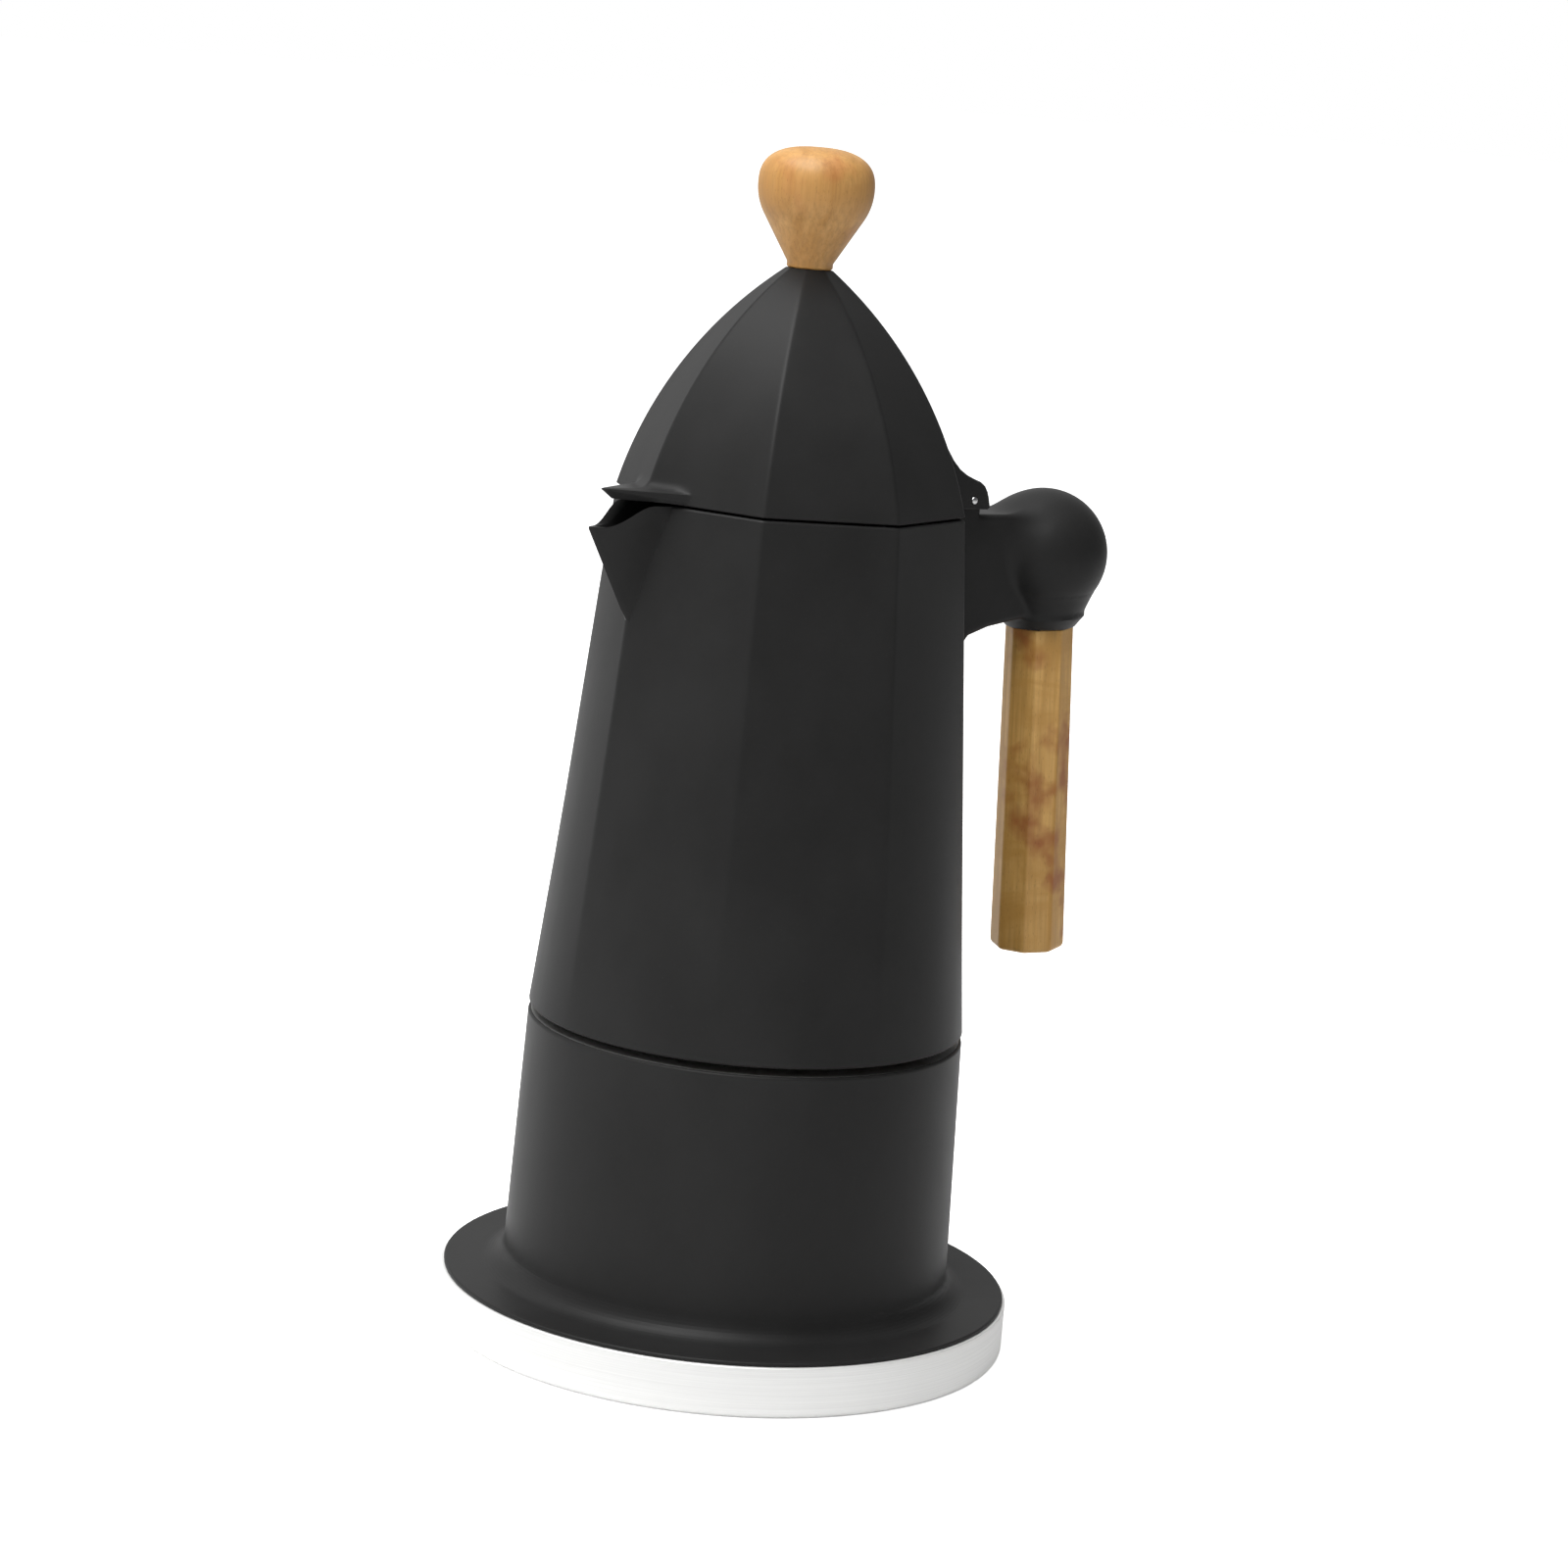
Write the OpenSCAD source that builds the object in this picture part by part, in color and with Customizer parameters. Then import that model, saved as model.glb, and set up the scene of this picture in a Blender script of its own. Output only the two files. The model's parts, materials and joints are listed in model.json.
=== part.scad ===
// Octagonal stovetop moka pot: a screwed boiler and collector, a hinged lid, a wooden knob and
// a wooden grip under a ball-ended arm. Millimetres. The origin is the centre of the base's
// underside, +Z is up, the handle points along +X, the spout along -X and the lid hinges about Y.

/* [Body] */
// Diameter of the steel base
base_d = 120; // [114:0.5:124]
// Height of the bare steel base
base_h = 10.8; // [9.5:0.1:12]
// Radius of the boiler wall just above its foot
foot_r = 47; // [46.5:0.1:48]
// Height of the boiler's top edge
seam_z = 66.4; // [65:0.1:68]
// Outer radius of the pot at the seam
seam_r = 45.6; // [45:0.1:46.4]
// Height of the dark groove between boiler and collector
groove_h = 1.7; // [1.2:0.1:2]

/* [Collector] */
// Height of the collector's rim
rim_z = 175.9; // [172:0.1:180]
// Radius of the rim over its eight corners
rim_r = 36.4; // [36:0.1:38]
// Thickness of the collector's wall
wall = 2.4; // [2:0.1:3]
// Distance of the spout's tip from the centre line
spout_r = 49.4; // [47:0.1:51]
// Height of the spout's tip
spout_tip_z = 171; // [169:0.1:173]
// Height of the spout's lowest point
spout_root_z = 152; // [150:0.1:157]

/* [Lid] */
// Height of the lid's top, where the knob stands
crown_z = 223.7; // [220:0.1:227]
// Radius of the arc that the lid's corners follow
crown_arc_r = 85.8; // [82:0.1:92]
// Distance of the lid's hinge pin from the centre line
hinge_x = 42.2; // [41.6:0.1:43.2]
// Height of the hinge pin
hinge_z = 177.6; // [177.4:0.1:178]

/* [Handle] */
// Distance of the ball's centre from the centre line
ball_x = 69.5; // [67:0.1:73]
// Height of the ball's centre
ball_z = 165.2; // [163:0.1:167]
// Radius of the ball
ball_r = 14; // [13:0.1:15]
// Lean of the grip, with its foot away from the pot
grip_lean = 4.2; // [3:0.1:6]
// Length of the wooden grip
grip_l = 72; // [60:0.5:80]
// Radius of the grip's corners at its top
grip_top_r = 7.4; // [7:0.1:8]
// Radius of the grip's corners near its foot
grip_foot_r = 8.15; // [7.6:0.05:9]

/* [Screw thread] */
// Rise of the thread in one turn
thread_pitch = 3; // [2.8:0.1:3.2]
// Turns on the boiler's neck
male_turns = 2.1; // [1.8:0.1:2.1]

/* [Hidden] */
$fn = 64;
eps = 0.01;
reach = 1;
through = 20;

// Colours
paint = [0.13, 0.13, 0.13];
bare_metal = [0.82, 0.82, 0.80];
steel = [0.88, 0.87, 0.84];
brass = [0.80, 0.65, 0.34];
timber = [0.66, 0.48, 0.30];
silicone = [0.90, 0.90, 0.86];

// Base and boiler
base_r = base_d / 2;
cap_t = 1.4;
cap_edge_r = 1.6;
core_top_z = 8;
plug_gap = 0.1;
plug_r = base_r - cap_t - plug_gap;
flange_r = base_r - 0.6;
flange_edge_r = 0.45;
foot_fillet_r = 4.6;
foot_z = base_h + 2 * flange_edge_r + foot_fillet_r + 0.1;
seam_edge_r = 0.6;
boiler_wall = 3;
boiler_floor_z = 14.6;
boiler_corner_r = 6;
inner_foot_r = foot_r - boiler_wall;
inner_top_r = seam_r - boiler_wall;
ceiling_z = seam_z - 3.2;
ceiling_haunch = 6;
mouth_bevel = 3;

// Thread, neck and the stack between the two chambers
neck_root_r = 37.6;
neck_bore_r = 34.2;
neck_top_z = seam_z + 10;
male_crest_r = 39.4;
female_crest_r = 38.2;
skirt_bore_r = 40;
thread_steps = 48;
thread_crest_half = 0.3;
thread_flank = 0.25;
thread_bite = 0.3;
male_start_z = seam_z + 2.8;
female_start_z = male_start_z + thread_pitch / 2;
female_turns = 2;
funnel_t = 0.7;
gasket_z = neck_top_z + funnel_t + 0.1;
gasket_h = 3.2;
gasket_r = 36.8;
gasket_bore_r = 28;
plate_z = gasket_z + gasket_h;
plate_t = 0.8;
plate_r = 36.2;
recess_r = 37.1;
recess_top_z = plate_z + plate_t + 0.2;
chamber_r = 31;
chamber_top_z = recess_top_z + 3;
floor_top_z = chamber_top_z + 2.6;

// Funnel
cup_r = 28.6;
cup_floor_z = 52;
cone_floor_z = 46;
tube_r = 4.2;
tube_foot_z = 18;
sieve_r = cup_r - funnel_t - 0.1;
sieve_z = cup_floor_z + funnel_t;
funnel_rim_r = 36;
sieve_rings = 4;
sieve_spacing = 5.6;
plate_spacing = 6;
drain_r = 0.8;

// Collector and its riser column
skirt_z = seam_z + groove_h;
loft_n = 64;
lid_gap = 0.5;
column_r = 7;
column_top_r = 5.6;
column_bore_r = 3.2;
column_top_z = 148;
column_port_r = 2;
column_port_z = column_top_z - 5;
cap_plug_h = 2;
cap_plug_gap = 0.05;
cap_brim = 0.6;
cap_brim_h = 1.4;
cap_dome_r = column_top_r - 1;
cap_dome_h = 3.4;
cap_h = 4.6;

// Spout and the lid's visor
spout_half_w = 6.8;
spout_wall = 1.6;
spout_bite = 3;
spout_root_bite = 1.2;
spout_tip_wall = 1.2 * spout_wall;
visor_half_w = 8.8;
visor_tip_r = 0.6;
visor_reach = 46.9;
visor_z = 176.7;
visor_t = 2.1;
visor_root_x = 32;

// Lid and its hinge
lid_z = rim_z + lid_gap;
lid_t = 1.6;
lid_steps = 22;
crown_r = 4.9;
crown_t = 3;
hinge_r = 4.3;
hinge_pin_r = 1.5;
hinge_clearance = 0.06;
hinge_pin_proud = 0.3;
ear_gap = 0.35;
ear_t = 2.6;
ear_root_x = 29.5;

// Handle arm, the fork in it and the spine that the fork grips
arm_half_w = 5.4;
arm_top_z = 174.2;
arm_foot_z = 142.1;
arm_bite = 4;
fork_gap = 0.05;
spine_half_w = 3;
spine_x = 46.8;
spine_foot_z = 148.2;
spine_bite = 2;
spine_rim_gap = 0.4;
arm_pin_r = 1.5;
arm_pin_x = 40.2;
arm_pin_sunk = 0.4;
arm_pin_zs = [155.5, 166.5];
neck_angle = -35.5;
collar_r = 9.6;
collar_top = 12.2;
collar_edge = 13.3;
collar_foot = 15.8;
collar_foot_r = 7.6;

// Grip and its long screw
grip_top = 15.9;
grip_edge = 1.4;
grip_bore_r = 2.3;
grip_screw_r = 2.2;
grip_screw_top = 1;
grip_head_r = 3.8;
grip_head_h = 2.4;
grip_sink = 6;
grip_sink_r = 4.5;
grip_washer_t = 0.8;
grip_washer_r = 4.2;
grip_foot = -grip_top - grip_l;
grip_washer_z = grip_foot + grip_sink - grip_washer_t;

// Knob
knob_z = crown_z + 0.1;
knob_neck_r = 4.7;
knob_neck_h = 1.2;
knob_belly_z = knob_z + 16.5;
knob_belly_r = 11.85;
knob_top_z = knob_z + 24.4;
knob_arc_r = 12.1;
knob_arc_drop = 6.1;
knob_power = 2.6;
knob_screw_r = 1.5;
knob_screw_l = 14;
knob_screw_room = 11;
knob_head_r = 2.9;
knob_head_h = 1.8;
knob_washer_t = 0.6;
knob_washer_r = 3.4;
knob_washer_z = crown_z - crown_t - knob_washer_t;

// Screwdriver slots
slot_w = 1;
slot_depth = 0.8;
turning_gap = 0.02;

// Safety valve, on the +Y side
valve_z = 44;
boss_r = 8.4;
boss_y = 48.8;
boss_in_y = inner_foot_r - 1.4;
valve_bore_r = 5;
valve_shank_r = 4.95;
valve_in_y = 41.4;
valve_seat_t = 1.6;
valve_chamber_r = 3.1;
valve_seat_r = 1.7;
seal_t = 0.8;
seal_r = 6.6;
hex_y = boss_y + seal_t;
hex_h = 4.2;
hex_r = 7.4;
valve_out_y = hex_y + hex_h;
retainer_t = 1.2;
retainer_bore_r = 1.35;
plunger_r = 2.7;
plunger_t = 1;
plunger_y = valve_in_y + valve_seat_t + 0.02;
stem_r = 1.2;
stem_out = 1.4;
spring_r = 2.1;
spring_wire_r = 0.28;
spring_gap = 0.05;
spring_turns = 6;
spring_sides = 8;
spring_steps = 16;

function lerp(a, b, t) = a + (b - a) * t;

// Points on an arc round c, from angle a0 to a1 in n steps
function arc(c, r, a0, a1, n) =
    [for (i = [0:n]) c + r * [cos(lerp(a0, a1, i / n)), sin(lerp(a0, a1, i / n))]];

// Reach of an octagon's edge at angle a, for corners at radius r and at multiples of 45 degrees
function octagon_reach(r, a) = r * cos(22.5) / cos(a - 45 * floor(a / 45) - 22.5);

// Corner radius of the collector's outer octagon, inset by d, at height z
function collector_r(z, d = 0) = lerp(seam_r, rim_r, (z - skirt_z) / (rim_z - skirt_z)) - d;

// A slice of the collector round its rear corner at height z, from the centre line out
function rear_ring(z) =
    let (t = (z - skirt_z) / (rim_z - skirt_z))
    concat([[0, 0, z]], [for (a = [-22.5, -11.25, 0, 11.25, 22.5])
        let (r = lerp(seam_r, octagon_reach(rim_r, a), t) + fork_gap)
        [r * cos(a), r * sin(a), z]]);

// A ring of the collector at height z: a circle at the seam that turns into an octagon at the rim
function collector_ring(z, d) =
    let (t = (z - skirt_z) / (rim_z - skirt_z))
    [for (i = [0:loft_n - 1])
        let (a = i * 360 / loft_n)
        let (r = lerp(seam_r - d, octagon_reach(rim_r - d / cos(22.5), a), t))
        [r * cos(a), r * sin(a), z]];

// The lid's corners follow an arc from the rim to the crown
crown_chord = [crown_r - rim_r, crown_z - lid_z];
crown_mid = [(crown_r + rim_r) / 2, (crown_z + lid_z) / 2];
crown_offset = sqrt(pow(crown_arc_r, 2) - pow(norm(crown_chord) / 2, 2));
crown_centre = crown_mid
    + crown_offset * [-crown_chord[1], crown_chord[0]] / norm(crown_chord);
function lid_r(z, d) =
    crown_centre[0] + sqrt(pow(crown_arc_r - d, 2) - pow(z - crown_centre[1], 2));
function lid_ring(z, d) =
    [for (i = [0:7]) [lid_r(z, d) * cos(i * 45), lid_r(z, d) * sin(i * 45), z]];

// A closed solid through rings of equally many points, listed from the bottom up
module loft(rings) {
    n = len(rings[0]);
    top = len(rings) - 1;
    points = [for (ring = rings) each ring];
    sides = [for (k = [0:top - 1]) for (i = [0:n - 1])
        let (j = (i + 1) % n)
        each [[k * n + i, (k + 1) * n + i, (k + 1) * n + j],
              [k * n + i, (k + 1) * n + j, k * n + j]]];
    floor_face = [[for (i = [0:n - 1]) i]];
    roof_face = [[for (i = [0:n - 1]) (top + 1) * n - 1 - i]];
    polyhedron(points = points, faces = concat(sides, floor_face, roof_face));
}

// A solid along a right-handed helix. section lists [radius, height] points, anticlockwise
module helix(section, pitch, turns, start_z, steps) {
    m = len(section);
    n = ceil(turns * steps);
    points = [for (i = [0:n]) for (s = section)
        let (a = 360 * i / steps)
        [s[0] * cos(a), s[0] * sin(a), start_z + s[1] + pitch * i / steps]];
    sides = [for (i = [0:n - 1]) for (k = [0:m - 1])
        let (l = (k + 1) % m)
        each [[i * m + k, (i + 1) * m + l, (i + 1) * m + k],
              [i * m + k, i * m + l, (i + 1) * m + l]]];
    start_face = [[for (k = [0:m - 1]) m - 1 - k]];
    end_face = [[for (k = [0:m - 1]) n * m + k]];
    polyhedron(points = points, faces = concat(sides, start_face, end_face));
}

// The cross-section of a thread ridge, from inside its wall at root to its crest
function ridge(root, crest) =
    let (out = sign(crest - root))
    let (inner = root - out * thread_bite)
    let (half_root = thread_crest_half + thread_flank * abs(crest - inner))
    out > 0
        ? [[inner, -half_root], [crest, -thread_crest_half],
           [crest, thread_crest_half], [inner, half_root]]
        : [[crest, -thread_crest_half], [inner, -half_root],
           [inner, half_root], [crest, thread_crest_half]];

// A tube or disc between two heights
module ring(z, h, r, bore = 0) {
    translate([0, 0, z]) difference() {
        cylinder(h = h, r = r);
        if (bore > 0) translate([0, 0, -reach]) cylinder(h = h + 2 * reach, r = bore);
    }
}

// A cylinder along +Y
module y_cylinder(y, h, r) {
    translate([0, y, 0]) rotate([-90, 0, 0]) cylinder(h = h, r = r);
}

// Children drawn in the X-Z plane, given a thickness of twice half_w across Y
module across(half_w) {
    translate([0, half_w, 0]) rotate([90, 0, 0]) linear_extrude(height = 2 * half_w) children();
}

// Children placed on the handle's leaning axis, with the ball's centre at their origin
module on_handle_axis() {
    translate([ball_x, 0, ball_z]) rotate([0, -grip_lean, 0]) children();
}

// Rings of small drain holes round the centre, to be cut from a disc
module drain_holes(z, h, rings, spacing, r) {
    for (k = [1:rings])
        for (i = [0:6 * k - 1])
            rotate([0, 0, i * 60 / k])
                translate([k * spacing, 0, z]) cylinder(h = h, r = r, $fn = 16);
}

// A straight bore along Y through whatever it is cut from
module y_bore(x, z, r) {
    translate([x, 0, z]) y_cylinder(-through, 2 * through, r);
}

// A screw along +Z with its slotted head at the bottom; z is the underside of what it clamps
module slotted_screw(z, l, r, head_r, head_h) {
    difference() {
        union() {
            translate([0, 0, z]) cylinder(h = l, r = r);
            translate([0, 0, z - head_h]) cylinder(h = head_h, r = head_r);
        }
        translate([0, 0, z - head_h]) cube([2 * head_r + reach, slot_w, 2 * slot_depth], center = true);
    }
}

module base_cap() {
    color(steel) rotate_extrude() polygon(concat(
        [[0, 0]],
        arc([base_r - cap_edge_r, cap_edge_r], cap_edge_r, -90, 0, 8),
        [[base_r, base_h], [base_r - cap_t, base_h], [base_r - cap_t, cap_t], [0, cap_t]]));
}

module heat_core() {
    color(bare_metal) ring(cap_t, core_top_z - cap_t, plug_r);
}

module boiler() {
    outside = concat(
        [[0, core_top_z], [plug_r, core_top_z], [plug_r, base_h]],
        arc([flange_r - flange_edge_r, base_h + flange_edge_r], flange_edge_r, -90, 90, 8),
        arc([foot_r + foot_fillet_r, foot_z], foot_fillet_r, 270, 180, 10),
        arc([seam_r - seam_edge_r, seam_z - seam_edge_r], seam_edge_r, 0, 90, 4),
        [[neck_root_r, seam_z], [neck_root_r, neck_top_z], [neck_bore_r, neck_top_z]]);
    inside = concat(
        [[neck_bore_r, ceiling_z + mouth_bevel], [neck_bore_r - 1, ceiling_z]],
        [[inner_top_r, ceiling_z - ceiling_haunch]],
        arc([inner_foot_r - boiler_corner_r, boiler_floor_z + boiler_corner_r],
            boiler_corner_r, 0, -90, 6),
        [[0, boiler_floor_z]]);
    color(paint) {
        difference() {
            union() {
                rotate_extrude() polygon(concat(outside, inside));
                translate([0, 0, valve_z]) y_cylinder(boss_in_y, boss_y - boss_in_y, boss_r);
            }
            translate([0, 0, valve_z])
                y_cylinder(boss_in_y - reach, boss_y - boss_in_y + 2 * reach, valve_bore_r);
        }
        helix(ridge(neck_root_r, male_crest_r), thread_pitch, male_turns, male_start_z, thread_steps);
    }
}

module valve_body() {
    color(brass) translate([0, 0, valve_z]) difference() {
        union() {
            y_cylinder(valve_in_y, hex_y - valve_in_y + eps, valve_shank_r);
            translate([0, hex_y, 0]) rotate([-90, 0, 0]) cylinder(h = hex_h, r = hex_r, $fn = 6);
        }
        y_cylinder(valve_in_y + valve_seat_t, through, valve_chamber_r);
        y_cylinder(valve_in_y - reach, through, valve_seat_r);
    }
}

module valve_seal() {
    color(silicone) translate([0, boss_y, valve_z]) rotate([-90, 0, 0])
        ring(0, seal_t, seal_r, valve_bore_r);
}

module valve_retainer() {
    color(brass) translate([0, valve_out_y - retainer_t, valve_z]) rotate([-90, 0, 0])
        ring(0, retainer_t, valve_chamber_r, retainer_bore_r);
}

module valve_pin() {
    stem_y = plunger_y + plunger_t - eps;
    color(steel) translate([0, 0, valve_z]) {
        y_cylinder(plunger_y, plunger_t, plunger_r);
        y_cylinder(stem_y, valve_out_y + stem_out - stem_y, stem_r);
    }
}

module valve_spring() {
    start_y = plunger_y + plunger_t + spring_wire_r + spring_gap;
    travel = valve_out_y - retainer_t - spring_wire_r - spring_gap - start_y;
    wire = [for (k = [0:spring_sides - 1])
        [spring_r + spring_wire_r * cos(k * 360 / spring_sides),
            spring_wire_r * sin(k * 360 / spring_sides)]];
    color(steel) translate([0, start_y, valve_z]) rotate([-90, 0, 0])
        helix(wire, travel / spring_turns, spring_turns, 0, spring_steps);
}

module funnel_basket() {
    color(bare_metal) rotate_extrude() polygon([
        [funnel_rim_r, neck_top_z], [funnel_rim_r, neck_top_z + funnel_t],
        [cup_r - funnel_t, neck_top_z + funnel_t], [cup_r - funnel_t, cup_floor_z],
        [tube_r - funnel_t, cone_floor_z], [tube_r - funnel_t, tube_foot_z],
        [tube_r, tube_foot_z], [tube_r, cone_floor_z - funnel_t],
        [cup_r, cup_floor_z - funnel_t], [cup_r, neck_top_z]]);
}

module funnel_sieve() {
    color(bare_metal) difference() {
        ring(sieve_z, funnel_t, sieve_r);
        drain_holes(sieve_z - reach, funnel_t + 2 * reach, sieve_rings, sieve_spacing, drain_r);
    }
}

module gasket() {
    color(silicone) ring(gasket_z, gasket_h, gasket_r, gasket_bore_r);
}

module filter_plate() {
    color(bare_metal) difference() {
        ring(plate_z, plate_t, plate_r);
        drain_holes(plate_z - reach, plate_t + 2 * reach, sieve_rings, plate_spacing, drain_r);
    }
}

// The V-shaped spout, closed along its slanting mouth; it bites into the collector's wall
module spout_outside() {
    root = [spout_root_bite - collector_r(spout_root_z), 0, spout_root_z - reach];
    tip = [-spout_r, 0, spout_tip_z];
    left = [spout_bite - rim_r, -spout_half_w, rim_z];
    right = [spout_bite - rim_r, spout_half_w, rim_z];
    polyhedron(points = [root, tip, left, right],
        faces = [[0, 2, 1], [0, 1, 3], [0, 3, 2], [1, 2, 3]]);
}

// The channel down the spout, to be cut from it, open above its mouth
module spout_inside() {
    inset = spout_bite + spout_wall - rim_r;
    half_w = spout_half_w - spout_wall;
    up = [0, 0, spout_bite + reach];
    root = [spout_root_bite + spout_wall - collector_r(spout_root_z), 0,
        spout_root_z - reach + spout_wall];
    tip = [spout_tip_wall - spout_r, 0, spout_tip_z];
    left = [inset, -half_w, rim_z];
    right = [inset, half_w, rim_z];
    polyhedron(points = [root, tip, left, right, tip + up, left + up, right + up],
        faces = [[0, 2, 1], [0, 1, 3], [0, 3, 2], [1, 2, 5], [1, 5, 4], [1, 4, 6], [1, 6, 3],
            [3, 6, 5], [3, 5, 2], [4, 5, 6]]);
}

// The rib behind the collector that the arm's fork grips, and the middle knuckle of the hinge
module rear_spine() {
    across(spine_half_w) {
        polygon([[collector_r(arm_foot_z) - spine_bite, arm_foot_z],
            [spine_x, spine_foot_z], [spine_x, hinge_z],
            [hinge_x - hinge_r, hinge_z], [hinge_x - hinge_r, rim_z - spine_rim_gap],
            [rim_r - spine_bite, rim_z - spine_rim_gap]]);
    }
    translate([hinge_x, 0, hinge_z]) y_cylinder(-spine_half_w, 2 * spine_half_w, hinge_r);
}

module collector() {
    color(paint) {
        difference() {
            union() {
                loft([collector_ring(skirt_z, 0), collector_ring(rim_z, 0)]);
                rear_spine();
                spout_outside();
            }
            loft([collector_ring(floor_top_z, wall), collector_ring(rim_z + reach, wall)]);
            spout_inside();
            ring(skirt_z - reach, gasket_z - skirt_z + reach, skirt_bore_r);
            ring(skirt_z - reach, recess_top_z - skirt_z + reach, recess_r);
            ring(skirt_z - reach, chamber_top_z - skirt_z + reach, chamber_r);
            ring(skirt_z - reach, floor_top_z - skirt_z + 2 * reach, column_r);
            y_bore(hinge_x, hinge_z, hinge_pin_r);
            for (z = arm_pin_zs)
                y_bore(arm_pin_x, z, arm_pin_r);
        }
        helix(ridge(skirt_bore_r, female_crest_r), thread_pitch, female_turns, female_start_z,
            thread_steps);
    }
}

module riser_column() {
    color(bare_metal) difference() {
        rotate_extrude() polygon([[column_bore_r, chamber_top_z], [column_r, chamber_top_z],
            [column_r, floor_top_z], [column_top_r, column_top_z], [column_bore_r, column_top_z]]);
        y_bore(0, column_port_z, column_port_r);
    }
}

module column_cap() {
    plug = column_bore_r - cap_plug_gap;
    brim = column_top_r + cap_brim;
    color(bare_metal) rotate_extrude() polygon([[0, column_top_z - cap_plug_h],
        [plug, column_top_z - cap_plug_h], [plug, column_top_z],
        [brim, column_top_z], [brim, column_top_z + cap_brim_h],
        [cap_dome_r, column_top_z + cap_dome_h], [0, column_top_z + cap_h]]);
}

// The arm seen from the side, from inside the collector's wall to the middle of the ball
module arm_outline() {
    polygon([[rim_r - arm_bite, arm_top_z], [ball_x, arm_top_z], [ball_x, 153.4], [68, 152.9],
        [52, 150], [46.8, 148.2], [45.3, 146.3], [43.4, arm_foot_z],
        [rim_r - arm_bite, arm_foot_z]]);
}

module handle_arm() {
    fork_half_w = spine_half_w + fork_gap;
    color(paint) difference() {
        union() {
            across(arm_half_w) arm_outline();
            translate([hinge_x, 0, hinge_z]) y_cylinder(-arm_half_w, 2 * arm_half_w, hinge_r);
            on_handle_axis() rotate_extrude() polygon(concat(
                [[0, -collar_foot], [collar_foot_r, -collar_foot], [collar_r, -collar_edge],
                    [collar_r, -collar_top]],
                arc([0, 0], ball_r, neck_angle, 90, 24)));
        }
        loft([rear_ring(arm_foot_z - reach), rear_ring(rim_z + 2 * hinge_r)]);
        across(fork_half_w) translate([0, arm_foot_z - reach])
            square([spine_x + fork_gap, hinge_z + 2 * hinge_r - arm_foot_z]);
        y_bore(hinge_x, hinge_z, hinge_pin_r);
        for (z = arm_pin_zs)
            y_bore(arm_pin_x, z, arm_pin_r);
        on_handle_axis() translate([0, 0, -collar_foot - reach])
            cylinder(h = collar_foot + reach + grip_screw_top, r = grip_screw_r);
    }
}

module arm_pins() {
    half_l = arm_half_w - arm_pin_sunk;
    color(steel) for (z = arm_pin_zs)
        translate([arm_pin_x, 0, z]) y_cylinder(-half_l, 2 * half_l, arm_pin_r);
}

module grip() {
    color(timber) on_handle_axis() difference() {
        union() {
            translate([0, 0, grip_foot + grip_edge])
                cylinder(h = grip_l - grip_edge, r1 = grip_foot_r, r2 = grip_top_r, $fn = 8);
            translate([0, 0, grip_foot])
                cylinder(h = grip_edge, r1 = grip_foot_r - grip_edge, r2 = grip_foot_r, $fn = 8);
        }
        translate([0, 0, grip_foot - reach]) cylinder(h = grip_l + 2 * reach, r = grip_bore_r);
        translate([0, 0, grip_foot - reach]) cylinder(h = grip_sink + reach, r = grip_sink_r);
    }
}

module grip_screw() {
    color(steel) on_handle_axis()
        slotted_screw(grip_washer_z, grip_screw_top - grip_washer_z, grip_screw_r - turning_gap,
            grip_head_r, grip_head_h);
}

module grip_washer() {
    color(steel) on_handle_axis() ring(grip_washer_z, grip_washer_t, grip_washer_r, grip_screw_r);
}

module hinge_pin() {
    half_l = arm_half_w + ear_gap + ear_t + hinge_pin_proud;
    color(steel) translate([hinge_x, 0, hinge_z]) y_cylinder(-half_l, 2 * half_l, hinge_pin_r);
}

// One of the two plates on the lid that turn on the hinge pin, with a square heel
module lid_ear() {
    across(ear_t / 2) {
        polygon([[ear_root_x, lid_z + 0.2], [36.5, lid_z + 0.2], [38.5, 175.7], [46.8, 175.7],
            [46.3, 178.1], [45, 180.6], [43.7, 181.5], [39.9, 182.9], [36, 186.1],
            [32.2, 192.6], [ear_root_x, 192.6]]);
    }
}

module lid_visor() {
    translate([0, 0, visor_z]) linear_extrude(height = visor_t) polygon(concat(
        [[-visor_root_x, -visor_half_w]],
        [[-visor_root_x, visor_half_w]],
        arc([-visor_reach + visor_tip_r, 0], visor_tip_r, 130, 230, 6)));
}

module lid() {
    inner_top = crown_z - crown_t;
    heights = [for (i = [0:lid_steps]) lerp(lid_z, crown_z, sin(90 * i / lid_steps))];
    inner_heights = [for (i = [0:lid_steps])
        lerp(lid_z - reach, inner_top, sin(90 * i / lid_steps))];
    color(paint) difference() {
        union() {
            loft([for (z = heights) lid_ring(z, 0)]);
            for (side = [-1, 1])
                translate([0, side * (arm_half_w + ear_gap + ear_t / 2), 0]) lid_ear();
            lid_visor();
        }
        loft([for (z = inner_heights) lid_ring(z, lid_t)]);
        y_bore(hinge_x, hinge_z, hinge_pin_r + hinge_clearance);
        translate([0, 0, inner_top - reach])
            cylinder(h = crown_t + 2 * reach, r = knob_screw_r + 5 * turning_gap);
    }
}

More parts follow.
